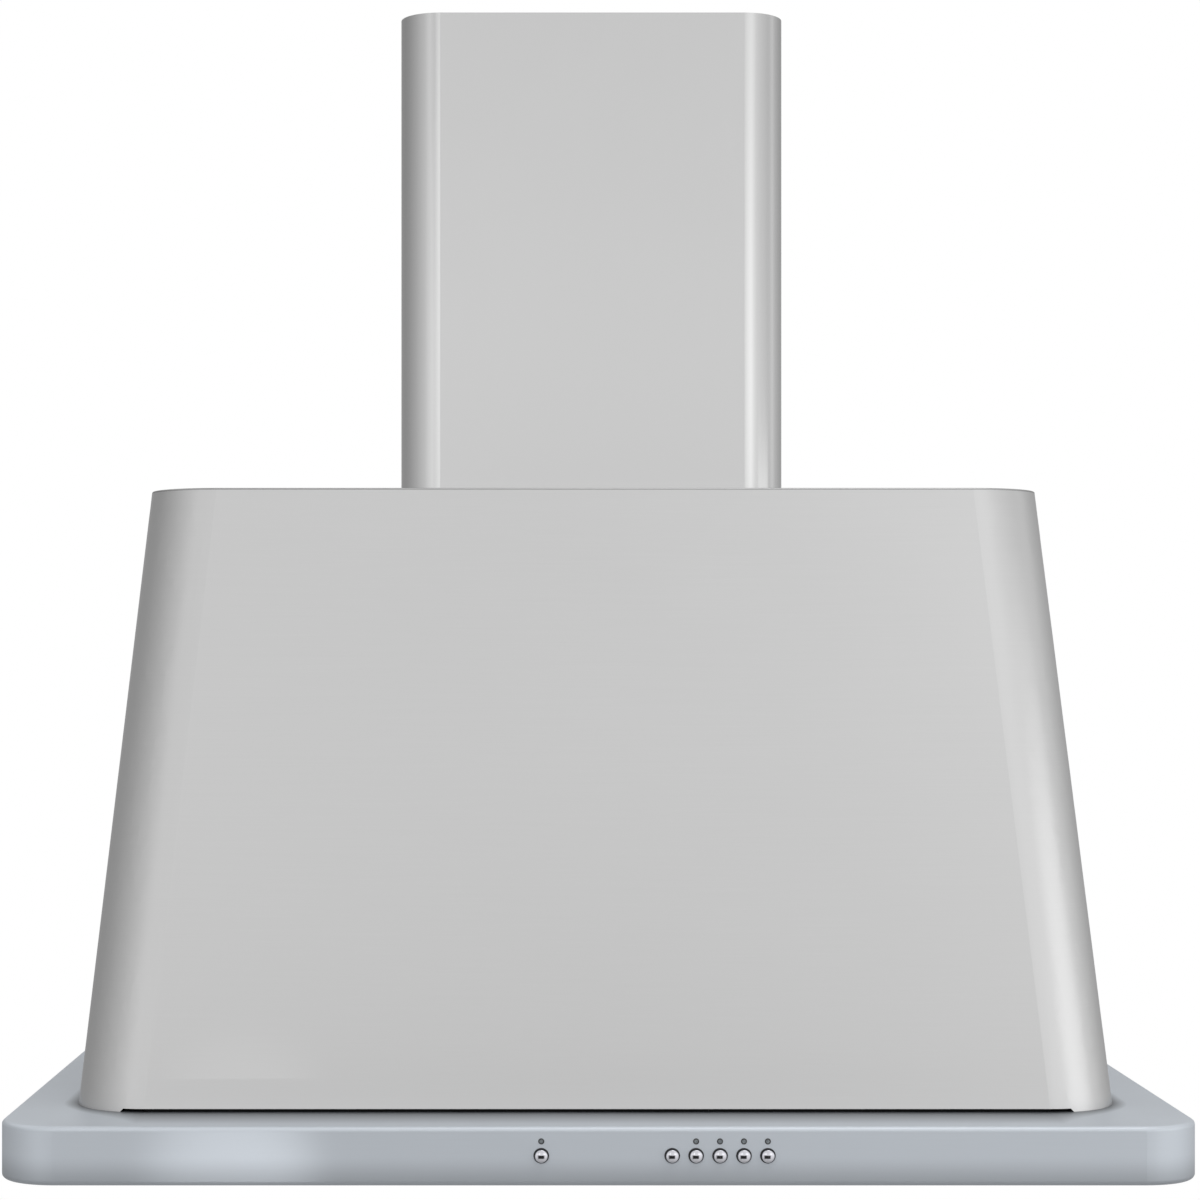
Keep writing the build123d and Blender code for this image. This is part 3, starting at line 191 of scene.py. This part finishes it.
def light_tent():
    world = bpy.data.worlds.new("light_tent")
    world.use_nodes = True
    world.node_tree.nodes.clear()
    g = Graph(world.node_tree)
    direction = g.node("ShaderNodeTexCoord").outputs["Generated"]
    x, y, z = g.node("ShaderNodeSeparateXYZ", Vector=direction).outputs
    radian = 180 / math.pi      # in degrees
    compass = g.math("MULTIPLY", g.math("ARCTAN2", x, g.math("MULTIPLY", y, -1.0)), radian)
    rise = g.math("MULTIPLY", g.math("ARCSINE", z), radian)
    to_each_side = g.math("ABSOLUTE", compass)

    def follow(angle, reach, stops):
        """Brightness through (degrees, level) stops that run from -reach to reach."""
        shares = [((degrees + reach) / (2 * reach), level / tent_peak) for degrees, level in stops]
        return g.ramp(g.span(angle, -reach, reach), shares)

    def window(value, start, full, fall, end):
        """1 from full to fall, with soft ends."""
        return g.math("MULTIPLY", g.span(value, start, full, smooth=True),
                      g.span(value, fall, end, 1.0, 0.0, smooth=True))

    around = follow(compass, 180, tent_compass)
    belt = g.math("MULTIPLY", g.math("MULTIPLY", around, follow(rise, 90, tent_low)), tent_peak)
    behind = g.span(y, *front_to_back)
    high = g.mix(behind, follow(rise, 90, tent_high_front), follow(rise, 90, tent_high_back))
    tent = g.mix(g.span(rise, *belt_top, smooth=True), belt, high)
    in_doorway = g.math("MULTIPLY", g.span(to_each_side, *dark_door, 1.0, 0.0, smooth=True),
                        window(rise, *door_rise))
    tent = g.math("MULTIPLY", tent, g.span(in_doorway, 0.0, 1.0, 1.0, door_level))
    strip = g.math("MULTIPLY", window(compass, *light_strip), window(rise, *strip_reach))
    tent = g.math("MULTIPLY_ADD", tent, tent_peak, g.math("MULTIPLY", strip, strip_gain))
    glow = g.math("MULTIPLY", window(to_each_side, *glow_compass), window(rise, *glow_rise))
    tent = g.math("MULTIPLY_ADD", glow, lintel_glow, tent)

    seen = g.node("ShaderNodeLightPath").outputs["Is Camera Ray"]
    lit = g.node("ShaderNodeBackground", Color=WHITE, Strength=tent)
    backdrop = g.node("ShaderNodeBackground", Color=WHITE, Strength=1.0)
    chosen = g.node("ShaderNodeMixShader", _0=seen, _1=lit.outputs[0], _2=backdrop.outputs[0])
    g.node("ShaderNodeOutputWorld", Surface=chosen.outputs[0])
    bpy.context.scene.world = world


light_tent()

floor_drop = 1.55           # the hood's underside above the floor
floor_half = 2.8
floor_fade = (1.2, 2.7)     # where the floor turns from its own white to the background's
floor_lighting = tone(206, 206, 206)
floor_seen = tone(250, 250, 250)


def pale_floor():
    shape = bmesh.new()
    bmesh.ops.create_grid(shape, x_segments=1, y_segments=1, size=floor_half)
    bmesh.ops.translate(shape, vec=(0, 0, -floor_drop), verts=shape.verts)
    mesh = bpy.data.meshes.new("pale_floor")
    shape.to_mesh(mesh)
    shape.free()
    floor = bpy.data.objects.new("pale_floor", mesh)
    put_in_scene(floor)
    material = bpy.data.materials.new("pale_floor")
    material.use_nodes = True
    material.node_tree.nodes.clear()
    g = Graph(material.node_tree)
    place = g.node("ShaderNodeTexCoord").outputs["Object"]
    in_plan = g.vector("MULTIPLY", place, (1, 1, 0)).outputs[0]
    fade = g.span(g.vector("LENGTH", in_plan).outputs["Value"], *floor_fade, smooth=True)
    seen = g.node("ShaderNodeLightPath").outputs["Is Camera Ray"]
    matt = g.node("ShaderNodeBsdfDiffuse", Color=g.mix(seen, floor_lighting, floor_seen))
    glow = g.node("ShaderNodeEmission", Color=WHITE, Strength=1.0)
    share = g.math("MULTIPLY", fade, seen)
    mixed = g.node("ShaderNodeMixShader", _0=share, _1=matt.outputs[0], _2=glow.outputs[0])
    g.node("ShaderNodeOutputMaterial", Surface=mixed.outputs[0])
    mesh.materials.append(material)


pale_floor()

# name, place, what it points at, width and height, power in watts
softboxes = [
    ("overhead_softbox", (0.5, -1.2, 2.6), (0.0, -0.25, 0.4), (1.6, 1.6), 14.0),
    ("canopy_softbox", (1.5, -1.12, 0.28), (0.0, -1.12, 0.28), (1.1, 0.76), 1.60),
    ("chimney_softbox", (0.68, -1.5, 1.05), (0.14, -0.28, 1.05), (0.5, 0.84), 0.16),
]
snoot_place, snoot_aim = (-0.274, -1.6, -0.35), (-0.274, -0.5, 0.006)
snoot_cone, snoot_power = 8.0, 5.5      # degrees and watts
snoot_source_r = 0.01


def hang(name, data, place, aim):
    lamp = bpy.data.objects.new(name, data)
    lamp.location = place
    lamp.rotation_euler = (Vector(aim) - Vector(place)).to_track_quat("-Z", "Y").to_euler()
    lamp.visible_camera = False
    put_in_scene(lamp)


def softbox(name, place, aim, size, power):
    """A plain rectangular lamp."""
    data = bpy.data.lights.new(name, "AREA")
    data.shape = "RECTANGLE"
    data.size, data.size_y = size
    data.energy = power
    hang(name, data, place, aim)


def snoot(name, place, aim, cone, power):
    """A small round pool of light with a soft edge."""
    data = bpy.data.lights.new(name, "SPOT")
    data.spot_size = math.radians(cone)
    data.spot_blend = 1.0
    data.shadow_soft_size = snoot_source_r
    data.energy = power
    hang(name, data, place, aim)


for lamp_settings in softboxes:
    softbox(*lamp_settings)
snoot("tray_snoot", snoot_place, snoot_aim, snoot_cone, snoot_power)


# ---------------------------------------------------------------- shared surface effects
def new_group(name, takes, gives):
    group = bpy.data.node_groups.new(name, "ShaderNodeTree")
    for socket, kind, default in takes:
        made = group.interface.new_socket(socket, in_out="INPUT", socket_type=kind)
        if default is not None:
            made.default_value = default
    for socket, kind in gives:
        group.interface.new_socket(socket, in_out="OUTPUT", socket_type=kind)
    g = Graph(group)
    return group, g, g.node("NodeGroupInput").outputs, g.node("NodeGroupOutput")


def brushed_lines():
    """Fine scratches along one direction: Stretch is small along the strokes and large across them."""
    group, g, given, result = new_group(
        "brushed_lines",
        [("Vector", "NodeSocketVector", None), ("Stretch", "NodeSocketVector", (3.0, 3.0, 900.0))],
        [("Lines", "NodeSocketFloat"), ("Patches", "NodeSocketFloat")],
    )
    stretched = g.vector("MULTIPLY", given["Vector"], given["Stretch"]).outputs[0]
    fine = g.node("ShaderNodeTexNoise", Vector=stretched, Scale=1.0, Detail=4.0, Roughness=0.6)
    broad = g.node("ShaderNodeTexNoise", Vector=given["Vector"], Scale=5.0, Detail=3.0, Roughness=0.55)
    g.feed(result, "Lines", fine.outputs[0])
    g.feed(result, "Patches", broad.outputs[0])
    return group


def moulded_skin():
    """The fine spark-eroded texture of a moulding, and its slow change of gloss."""
    group, g, given, result = new_group(
        "moulded_skin",
        [("Vector", "NodeSocketVector", None), ("Scale", "NodeSocketFloat", 1400.0)],
        [("Grain", "NodeSocketFloat"), ("Gloss", "NodeSocketFloat")],
    )
    grain = g.node("ShaderNodeTexVoronoi", {"feature": "SMOOTH_F1"}, Vector=given["Vector"],
                   Scale=given["Scale"])
    gloss = g.node("ShaderNodeTexNoise", Vector=given["Vector"], Scale=18.0, Detail=3.0)
    g.feed(result, "Grain", grain.outputs["Distance"])
    g.feed(result, "Gloss", gloss.outputs[0])
    return group


def zinc_spangle():
    """The leaf-like crystals of galvanised sheet: flat cells, their outlines bent by a finer noise."""
    bend = (12 * MM,) * 3
    group, g, given, result = new_group(
        "zinc_spangle",
        [("Vector", "NodeSocketVector", None), ("Scale", "NodeSocketFloat", 70.0)],
        [("Shade", "NodeSocketFloat"), ("Edge", "NodeSocketFloat")],
    )
    bent = g.node("ShaderNodeTexNoise", Vector=given["Vector"], Scale=60.0, Detail=2.0).outputs["Color"]
    moved = g.vector("MULTIPLY_ADD", bent, bend, given["Vector"]).outputs[0]
    cells = g.node("ShaderNodeTexVoronoi", Vector=moved, Scale=given["Scale"])
    g.feed(result, "Shade", g.node("ShaderNodeSeparateColor", Color=cells.outputs["Color"]).outputs[0])
    g.feed(result, "Edge", cells.outputs["Distance"])
    return group


BRUSHED = brushed_lines()
SKIN = moulded_skin()
SPANGLE = zinc_spangle()
NOISE = (0.3, 0.7)          # nearly all of a noise texture's values lie between these


# ---------------------------------------------------------------- materials
def begin(name):
    """A new material, its graph, its Principled shader and the place on the surface."""
    material = bpy.data.materials.new(name)
    material.use_nodes = True
    material.node_tree.nodes.clear()
    g = Graph(material.node_tree)
    shader = g.node("ShaderNodeBsdfPrincipled")
    g.node("ShaderNodeOutputMaterial", Surface=shader.outputs[0])
    return material, g, shader, g.node("ShaderNodeTexCoord").outputs["Object"]


def place_group(g, group, place, **inputs):
    return g.node("ShaderNodeGroup", {"node_tree": group}, Vector=place, **inputs).outputs


def relief(g, shader, height, depth):
    bump = g.node("ShaderNodeBump", Height=height, Strength=1.0, Distance=depth)
    g.feed(shader, "Normal", bump.outputs[0])


def satin_steel(name, colour, roughness, stretch, contrast=0.02, metal=1.0, shade=None):
    """Stainless steel with strokes along one direction; the optional shade mask paints a darker zone of
    painted shade into the base colour.
    """
    stroke_gloss, patch_gloss, patch_shade, stroke_depth = 0.02, 0.01, 0.01, 0.002 * MM
    material, g, shader, place = begin(name)
    strokes = place_group(g, BRUSHED, place, Stretch=stretch)
    lines, patches = strokes["Lines"], strokes["Patches"]
    base = g.mix(g.span(lines, *NOISE), scaled(colour, 1 - contrast), scaled(colour, 1 + contrast))
    cloud = g.span(patches, *NOISE, 1 - patch_shade, 1 + patch_shade)
    # a given shade mask multiplies painted shade into the base colour
    if shade:
        cloud = g.math("MULTIPLY", cloud, shade(g, place))
    g.feed(shader, "Base Color", g.mix(1.0, base, cloud, "MULTIPLY"))
    grain = g.span(lines, *NOISE, roughness - stroke_gloss, roughness + stroke_gloss)
    worn = g.span(patches, *NOISE, -patch_gloss, patch_gloss)
    g.feed(shader, "Roughness", g.math("ADD", grain, worn))
    shader.inputs["Metallic"].default_value = metal
    relief(g, shader, lines, stroke_depth)
    return material


canopy_low, canopy_high = corners("canopy_shell")
tray_low, tray_high = corners("tray_shell")
top_low, top_high = corners("canopy_top_plate")
canopy_corner_r = 58 * MM


def beyond(g, place, low, high, corner_r):
    """How far outside a rounded outline in plan a place is, how far round to the side, and its height."""
    x, y, z = g.node("ShaderNodeSeparateXYZ", Vector=place).outputs
    side = g.math("MAXIMUM", g.math("SUBTRACT", g.math("ABSOLUTE", x), high.x - corner_r), 0.0)
    ahead = g.math("MAXIMUM", g.math("SUBTRACT", low.y + corner_r, y), 0.0)
    reach = g.math("SQRT", g.math("MULTIPLY_ADD", side, side, g.math("MULTIPLY", ahead, ahead)))
    round_to_side = g.math("DIVIDE", side, g.math("MAXIMUM", reach, MM))
    return g.math("SUBTRACT", reach, corner_r), round_to_side, z


def tray_painted_shade(g, place):
    """Painted shade on the tray: darker towards the bottom of its rolled foot, and a painted contact shadow
    on top around where the canopy stands on it.
    """
    foot_bottom, foot_top, foot_shade_level = 1 * MM, 23 * MM, 0.66
    contact_shade_reach, contact_shade_level, side_pace = 56 * MM, 0.22, 4.0
    top_starts, top_full = tray_high.z - 2 * MM, tray_high.z - 1 * MM
    off, round_to_side, height = beyond(g, place, canopy_low, canopy_high, canopy_corner_r)
    off = g.math("MULTIPLY", off, g.math("MULTIPLY_ADD", round_to_side, side_pace, 1.0))
    # painted shade: darker towards the bottom of the tray's foot
    foot_shade = g.span(height, foot_bottom, foot_top, foot_shade_level, 1.0, smooth=True)
    # painted contact shadow on the tray's top next to the canopy's foot
    contact_shade = g.span(off, 0.0, contact_shade_reach, contact_shade_level, 1.0)
    on_top = g.span(height, top_starts, top_full)
    contact_shade = g.span(g.math("MULTIPLY", on_top, g.math("SUBTRACT", 1.0, contact_shade)), 0.0, 1.0, 1.0, 0.0)
    return g.math("MULTIPLY", foot_shade, contact_shade)


def top_plate_painted_edge_shade(g, place):
    """The top plate has a painted dark line of shade along its outer edge."""
    edge_width, edge_shade_level = 3 * MM, 0.62
    off = beyond(g, place, top_low, top_high, canopy_corner_r)[0]
    return g.span(off, -edge_width, 0.0, 1.0, edge_shade_level, smooth=True)


def polished_chrome(name, colour):
    """Plating with faint wipe marks."""
    mark_shade, roughness = 0.94, (0.045, 0.11)
    material, g, shader, place = begin(name)
    marks = g.node("ShaderNodeTexNoise", Vector=place, Scale=260.0, Detail=4.0).outputs[0]
    g.feed(shader, "Base Color", g.mix(g.span(marks, 0.35, 0.7), colour, scaled(colour, mark_shade)))
    g.feed(shader, "Roughness", g.span(marks, 0.3, 0.75, *roughness))
    shader.inputs["Metallic"].default_value = 1.0
    return material


def galvanised_sheet(name, dark, light):
    """Each zinc crystal has its own shade and gloss."""
    roughness, metal, crystal_depth = (0.34, 0.52), 0.9, 0.03 * MM
    material, g, shader, place = begin(name)
    crystals = place_group(g, SPANGLE, place)
    g.feed(shader, "Base Color", g.mix(crystals["Shade"], dark, light))
    g.feed(shader, "Roughness", g.span(crystals["Shade"], 0.0, 1.0, *roughness))
    shader.inputs["Metallic"].default_value = metal
    relief(g, shader, crystals["Edge"], crystal_depth)
    return material


def moulding(name, colour, roughness, depth=0.04 * MM, scale=1400.0, gloss=0.5):
    """Moulded plastic or rubber, paler and changed in gloss where it is worn."""
    wear, lift, gloss_change = 1.18, 0.001, 0.06
    material, g, shader, place = begin(name)
    skin = place_group(g, SKIN, place, Scale=scale)
    worn = scaled(colour, wear, lift)
    g.feed(shader, "Base Color", g.mix(g.span(skin["Gloss"], 0.35, 0.7), colour, worn))
    g.feed(shader, "Roughness",
           g.span(skin["Gloss"], *NOISE, roughness - gloss_change, roughness + gloss_change))
    shader.inputs["Specular IOR Level"].default_value = gloss
    relief(g, shader, skin["Grain"], depth)
    return material


def enamel(name, colour):
    """Stoved motor paint with a slight orange peel and some dust."""
    dust_gain, dust_lift, roughness, peel_depth = 1.5, 0.01, (0.32, 0.6), 0.08 * MM
    material, g, shader, place = begin(name)
    peel = g.node("ShaderNodeTexNoise", Vector=place, Scale=420.0, Detail=2.0).outputs[0]
    dust = g.node("ShaderNodeTexNoise", Vector=place, Scale=24.0, Detail=5.0).outputs[0]
    dusty = scaled(colour, dust_gain, dust_lift)
    g.feed(shader, "Base Color", g.mix(g.span(dust, 0.5, 0.8), colour, dusty))
    g.feed(shader, "Roughness", g.span(dust, 0.4, 0.75, *roughness))
    relief(g, shader, peel, peel_depth)
    return material


def cast_metal(name, colour):
    """Bare metal with a fine grit."""
    pit_shade, roughness, grit_depth = 0.86, (0.36, 0.5), 0.05 * MM
    material, g, shader, place = begin(name)
    grit = g.node("ShaderNodeTexNoise", Vector=place, Scale=900.0, Detail=4.0).outputs[0]
    g.feed(shader, "Base Color", g.mix(g.span(grit, *NOISE), scaled(colour, pit_shade), colour))
    g.feed(shader, "Roughness", g.span(grit, *NOISE, *roughness))
    shader.inputs["Metallic"].default_value = 1.0
    relief(g, shader, grit, grit_depth)
    return material


def frosted_lens(name, clear, cloudy):
    """Acrylic that lets most of the light through."""
    roughness, passed, acrylic_ior, frost_depth = (0.30, 0.46), 0.85, 1.49, 0.06 * MM
    material, g, shader, place = begin(name)
    cells = g.node("ShaderNodeTexVoronoi", {"feature": "SMOOTH_F1"}, Vector=place, Scale=700.0)
    frost = cells.outputs["Distance"]
    g.feed(shader, "Base Color", g.mix(g.span(frost, 0.2, 0.6), clear, cloudy))
    g.feed(shader, "Roughness", g.span(frost, 0.1, 0.6, *roughness))
    shader.inputs["Transmission Weight"].default_value = passed
    shader.inputs["IOR"].default_value = acrylic_ior
    relief(g, shader, frost, frost_depth)
    return material


def smoked_lens(name, dark, light):
    """The unlit cap of an indicator."""
    roughness, coat = (0.12, 0.24), 0.4
    material, g, shader, place = begin(name)
    depth = g.node("ShaderNodeTexNoise", Vector=place, Scale=1500.0, Detail=2.0).outputs[0]
    g.feed(shader, "Base Color", g.mix(g.span(depth, 0.4, 0.7), dark, light))
    g.feed(shader, "Roughness", g.span(depth, *NOISE, *roughness))
    shader.inputs["Coat Weight"].default_value = coat
    return material


def circuit_board(name, lacquer, lacquer_2, tracks):
    """Lacquered board with its copper tracks showing through."""
    roughness, track_depth = (0.42, 0.28), 0.04 * MM
    material, g, shader, place = begin(name)
    traces = g.node("ShaderNodeTexBrick", Vector=place, Color1=lacquer, Color2=lacquer_2, Mortar=tracks,
                    Scale=140.0, Mortar_Size=0.05, Brick_Width=0.9)
    g.feed(shader, "Base Color", traces.outputs["Color"])
    g.feed(shader, "Roughness", g.span(traces.outputs["Fac"], 0.0, 1.0, *roughness))
    relief(g, shader, traces.outputs["Fac"], track_depth)
    return material


# how much the strokes' noise is squeezed along X, Y and Z: little along the strokes, much across them
strokes_round = (14, 14, 4200)
strokes_upright = (4200, 4200, 14)
strokes_left_right = (14, 3000, 3000)
strokes_front_back = (3000, 14, 3000)

finishes = {
    "canopy_steel": satin_steel("canopy_steel", tone(199, 199, 199), 0.34, strokes_round),
    # the tray's steel carries painted shade along its foot and a painted contact shadow around the canopy's
    # foot
    "tray_steel": satin_steel("tray_steel", tone(197, 203, 210), 0.44, strokes_round, metal=0.5,
                              shade=tray_painted_shade),
    "chimney_steel": satin_steel("chimney_steel", tone(196, 196, 196), 0.18, strokes_upright),
    "panel_steel": satin_steel("panel_steel", tone(192, 194, 196), 0.30, strokes_left_right, 0.04),
    "filter_steel": satin_steel("filter_steel", tone(196, 198, 200), 0.26, strokes_front_back, 0.04),
    "galvanised_steel": galvanised_sheet("galvanised_steel", tone(180, 184, 188), tone(200, 203, 206)),
    "chrome": polished_chrome("chrome", tone(206, 206, 212)),
    # black rubber is a real colour; its strip behind the canopy's shadow gap also stands in for that gap's
    # shade, as painted shade
    "black_rubber": moulding("black_rubber", tone(7, 7, 8), 0.82, 0.06 * MM, 900.0, gloss=0.2),
    "black_plastic": moulding("black_plastic", tone(44, 44, 46), 0.46),
    "grey_plastic": moulding("grey_plastic", tone(170, 173, 176), 0.44),
    "white_plastic": moulding("white_plastic", tone(232, 232, 227), 0.40),
    "lens": frosted_lens("lens", tone(247, 247, 240), tone(236, 238, 232)),
    "indicator": smoked_lens("indicator", tone(104, 110, 114), tone(140, 146, 148)),
    "phosphor": moulding("phosphor", tone(228, 196, 104), 0.30, 0.02 * MM, 2600.0),
    "board": circuit_board("board", tone(24, 84, 50), tone(20, 72, 43), tone(52, 128, 74)),
    "aluminium": cast_metal("aluminium", tone(214, 215, 217)),
    "motor_paint": enamel("motor_paint", tone(72, 74, 78)),
    "screw_steel": cast_metal("screw_steel", tone(196, 197, 196)),
}
special_finishes = {
    # the top plate's steel carries a painted dark line of shade along its outer edge
    "canopy_top_plate": satin_steel("steel_with_painted_edge_shade", tone(199, 199, 199), 0.34, strokes_round,
                                    shade=top_plate_painted_edge_shade),
}
for subpart in frame["record"]["subparts"]:
    finish = special_finishes.get(subpart["node"], finishes[subpart["material_slot"]])
    for place in nodes[subpart["node"]].material_slots:
        place.material = finish


# ---------------------------------------------------------------- added pieces
def loose_object(name, shape):
    """An object in the scene from a bmesh, its faces turned outwards."""
    bmesh.ops.recalc_face_normals(shape, faces=shape.faces)
    mesh = bpy.data.meshes.new(name)
    shape.to_mesh(mesh)
    shape.free()
    item = bpy.data.objects.new(name, mesh)
    put_in_scene(item)
    return item


def finish_piece(name, shape, finish, body="hood", crease=35):
    """Makes an object from a bmesh, smooth up to the crease angle, riding on a body."""
    piece = loose_object(name, shape)
    piece.data.shade_smooth()
    piece.data.set_sharp_from_angle(angle=math.radians(crease))
    piece.data.materials.append(finishes[finish])
    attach(piece, body)
    return piece


def merged_copy(node):
    """A bmesh of a CAD node, its faces joined where they meet."""
    shape = bmesh.new()
    shape.from_mesh(nodes[node].data)
    bmesh.ops.remove_doubles(shape, verts=shape.verts, dist=weld_distance)
    return shape


def separate_solids(shape):
    """The corner points of each solid that isn't joined to the others."""
    seen, solids = set(), []
    for first in shape.verts:
        if first in seen:
            continue
        seen.add(first)
        reached, solid = [first], []
        while reached:
            corner = reached.pop()
            solid.append(corner.co.copy())
            for edge in corner.link_edges:
                other = edge.other_vert(corner)
                if other not in seen:
                    seen.add(other)
                    reached.append(other)
        solids.append(solid)
    return solids


def limits(points):
    return (Vector([min(p[k] for p in points) for k in range(3)]),
            Vector([max(p[k] for p in points) for k in range(3)]))


recess_half, recess_depth = 1.75 * MM, 1.2 * MM     # the driver's cross in a screw's head
recess_waist = 0.34                                 # how deep the corners between its arms go
recess_taper = 0.55
cross_corners = 8                                   # tips and waists of its four arms
head_band = 0.3 * MM                                # a screw's end, where its width is measured


def driver_cross(cutter, middle, out):
    """Adds a four-armed tapered star to the cutter, centred on a head's face."""
    made = bmesh.ops.create_cone(
        cutter, cap_ends=True, segments=cross_corners,
        radius1=recess_half * recess_taper, radius2=recess_half, depth=2 * recess_depth,
    )["verts"]
    for corner in made:
        turn = round(math.atan2(corner.co.y, corner.co.x) / math.radians(360 / cross_corners))
        if turn % 2:
            corner.co.x *= recess_waist
            corner.co.y *= recess_waist
    turned = out.to_track_quat("Z", "Y").to_matrix().to_4x4()
    bmesh.ops.transform(cutter, matrix=Matrix.Translation(middle) @ turned, verts=made)


def head_of(screw):
    """The middle of a screw's head and the direction that it faces: the head is its wider end."""
    low, high = limits(screw)
    middle, size = (low + high) / 2, high - low
    along = min(range(3), key=lambda k: abs(size[(k + 1) % 3] - size[(k + 2) % 3]))
    across = [k for k in range(3) if k != along]
    widths = {}
    for end in (low[along], high[along]):
        rim = [p for p in screw if abs(p[along] - end) < head_band]
        widths[end] = max(abs(p[k] - middle[k]) for p in rim for k in across)
    head = max(widths, key=widths.get)
    out = Vector((0, 0, 0))
    out[along] = 1.0 if head > middle[along] else -1.0
    middle[along] = head
    return middle, out


def recessed_screws(node):
    """The node's screws again, with a driver's cross cut into each head."""
    screws, cutter = merged_copy(node), bmesh.new()
    for screw in separate_solids(screws):
        driver_cross(cutter, *head_of(screw))
    knife = loose_object("cross_cutter", cutter)
    blank = loose_object("uncut_screws", screws)
    cut = blank.modifiers.new("cross", "BOOLEAN")
    cut.operation, cut.solver, cut.object = "DIFFERENCE", "EXACT", knife
    result = bmesh.new()
    result.from_object(blank, bpy.context.evaluated_depsgraph_get())
    for used in (blank, knife):
        bpy.data.objects.remove(used)
    piece = finish_piece(f"recessed_{node}", result, "screw_steel")
    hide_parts(node)


for screw_node in ("pan_screws", "short_screws", "countersunk_screws"):
    recessed_screws(screw_node)


ring_r, ring_wire = 1.80 * MM, 0.46 * MM
ring_steps, wire_sides, ring_crease = 36, 12, 60


def indicator_rings():
    """A black ring around each indicator, where its holder is pressed through the tray's front."""
    shape, lights = bmesh.new(), merged_copy("led_indicators")
    for solid in separate_solids(lights):
        low, high = limits(solid)
        middle = Vector(((low.x + high.x) / 2, tray_low.y, (low.z + high.z) / 2))
        wire = bmesh.ops.create_circle(shape, segments=wire_sides, radius=ring_wire)["verts"]
        bmesh.ops.translate(shape, verts=wire, vec=middle + Vector((ring_r, 0, 0)))
        loop = [edge for edge in shape.edges if all(corner in wire for corner in edge.verts)]
        bmesh.ops.spin(shape, geom=wire + loop, cent=middle, axis=(0, 1, 0),
                       angle=math.radians(360), steps=ring_steps, use_merge=True)
    lights.free()
    bmesh.ops.remove_doubles(shape, verts=shape.verts, dist=weld_distance)
    finish_piece("indicator_rings", shape, "black_plastic", crease=ring_crease)


indicator_rings()

board_r, board_thick, board_sides = 20.5 * MM, 1.0 * MM, 64
board_edge_r, chip_edge_r, edge_steps = 0.25 * MM, 0.3 * MM, 2
rim_turn = math.radians(60)     # the disc turns more than this at its two rims only
chip_side, chip_thick, chip_ring = 3.2 * MM, 0.7 * MM, 12.5 * MM
chip_count = 8                  # in the ring, round one more in the middle


def lamp_modules():
    """The round lamp board that shows through each frosted lens, with its ring of chips."""
    boards, chips = bmesh.new(), bmesh.new()
    lens_low, lens_high = corners("lamp_lenses")
    board_top = corners("lamp_bodies")[0].z
    lens_half = (lens_high.y - lens_low.y) / 2
    places = [Vector((0, 0, 0))] + [
        Matrix.Rotation(math.radians(360 * step / chip_count), 3, "Z") @ Vector((chip_ring, 0, 0))
        for step in range(chip_count)
    ]
    for side in (-1, 1):
        middle = Vector((side * (lens_high.x - lens_half), (lens_low.y + lens_high.y) / 2, board_top))
        disc = bmesh.ops.create_cone(boards, cap_ends=True, segments=board_sides, radius1=board_r,
                                     radius2=board_r, depth=board_thick)["verts"]
        bmesh.ops.translate(boards, verts=disc, vec=middle - Vector((0, 0, board_thick / 2)))
        for place in places:
            chip = bmesh.ops.create_cube(chips, size=1.0)["verts"]
            bmesh.ops.scale(chips, verts=chip, vec=(chip_side, chip_side, chip_thick))
            bmesh.ops.translate(chips, verts=chip,
                                vec=middle + place - Vector((0, 0, board_thick + chip_thick / 2)))
    rims = [edge for edge in boards.edges if edge.calc_face_angle(0) > rim_turn]
    for shape, edges, edge_r in ((boards, rims, board_edge_r), (chips, chips.edges[:], chip_edge_r)):
        bmesh.ops.bevel(shape, geom=edges, offset=edge_r, segments=edge_steps, profile=0.5,
                        affect="EDGES", material=-1)
    finish_piece("lamp_boards", boards, "white_plastic")
    finish_piece("lamp_chips", chips, "phosphor")


lamp_modules()
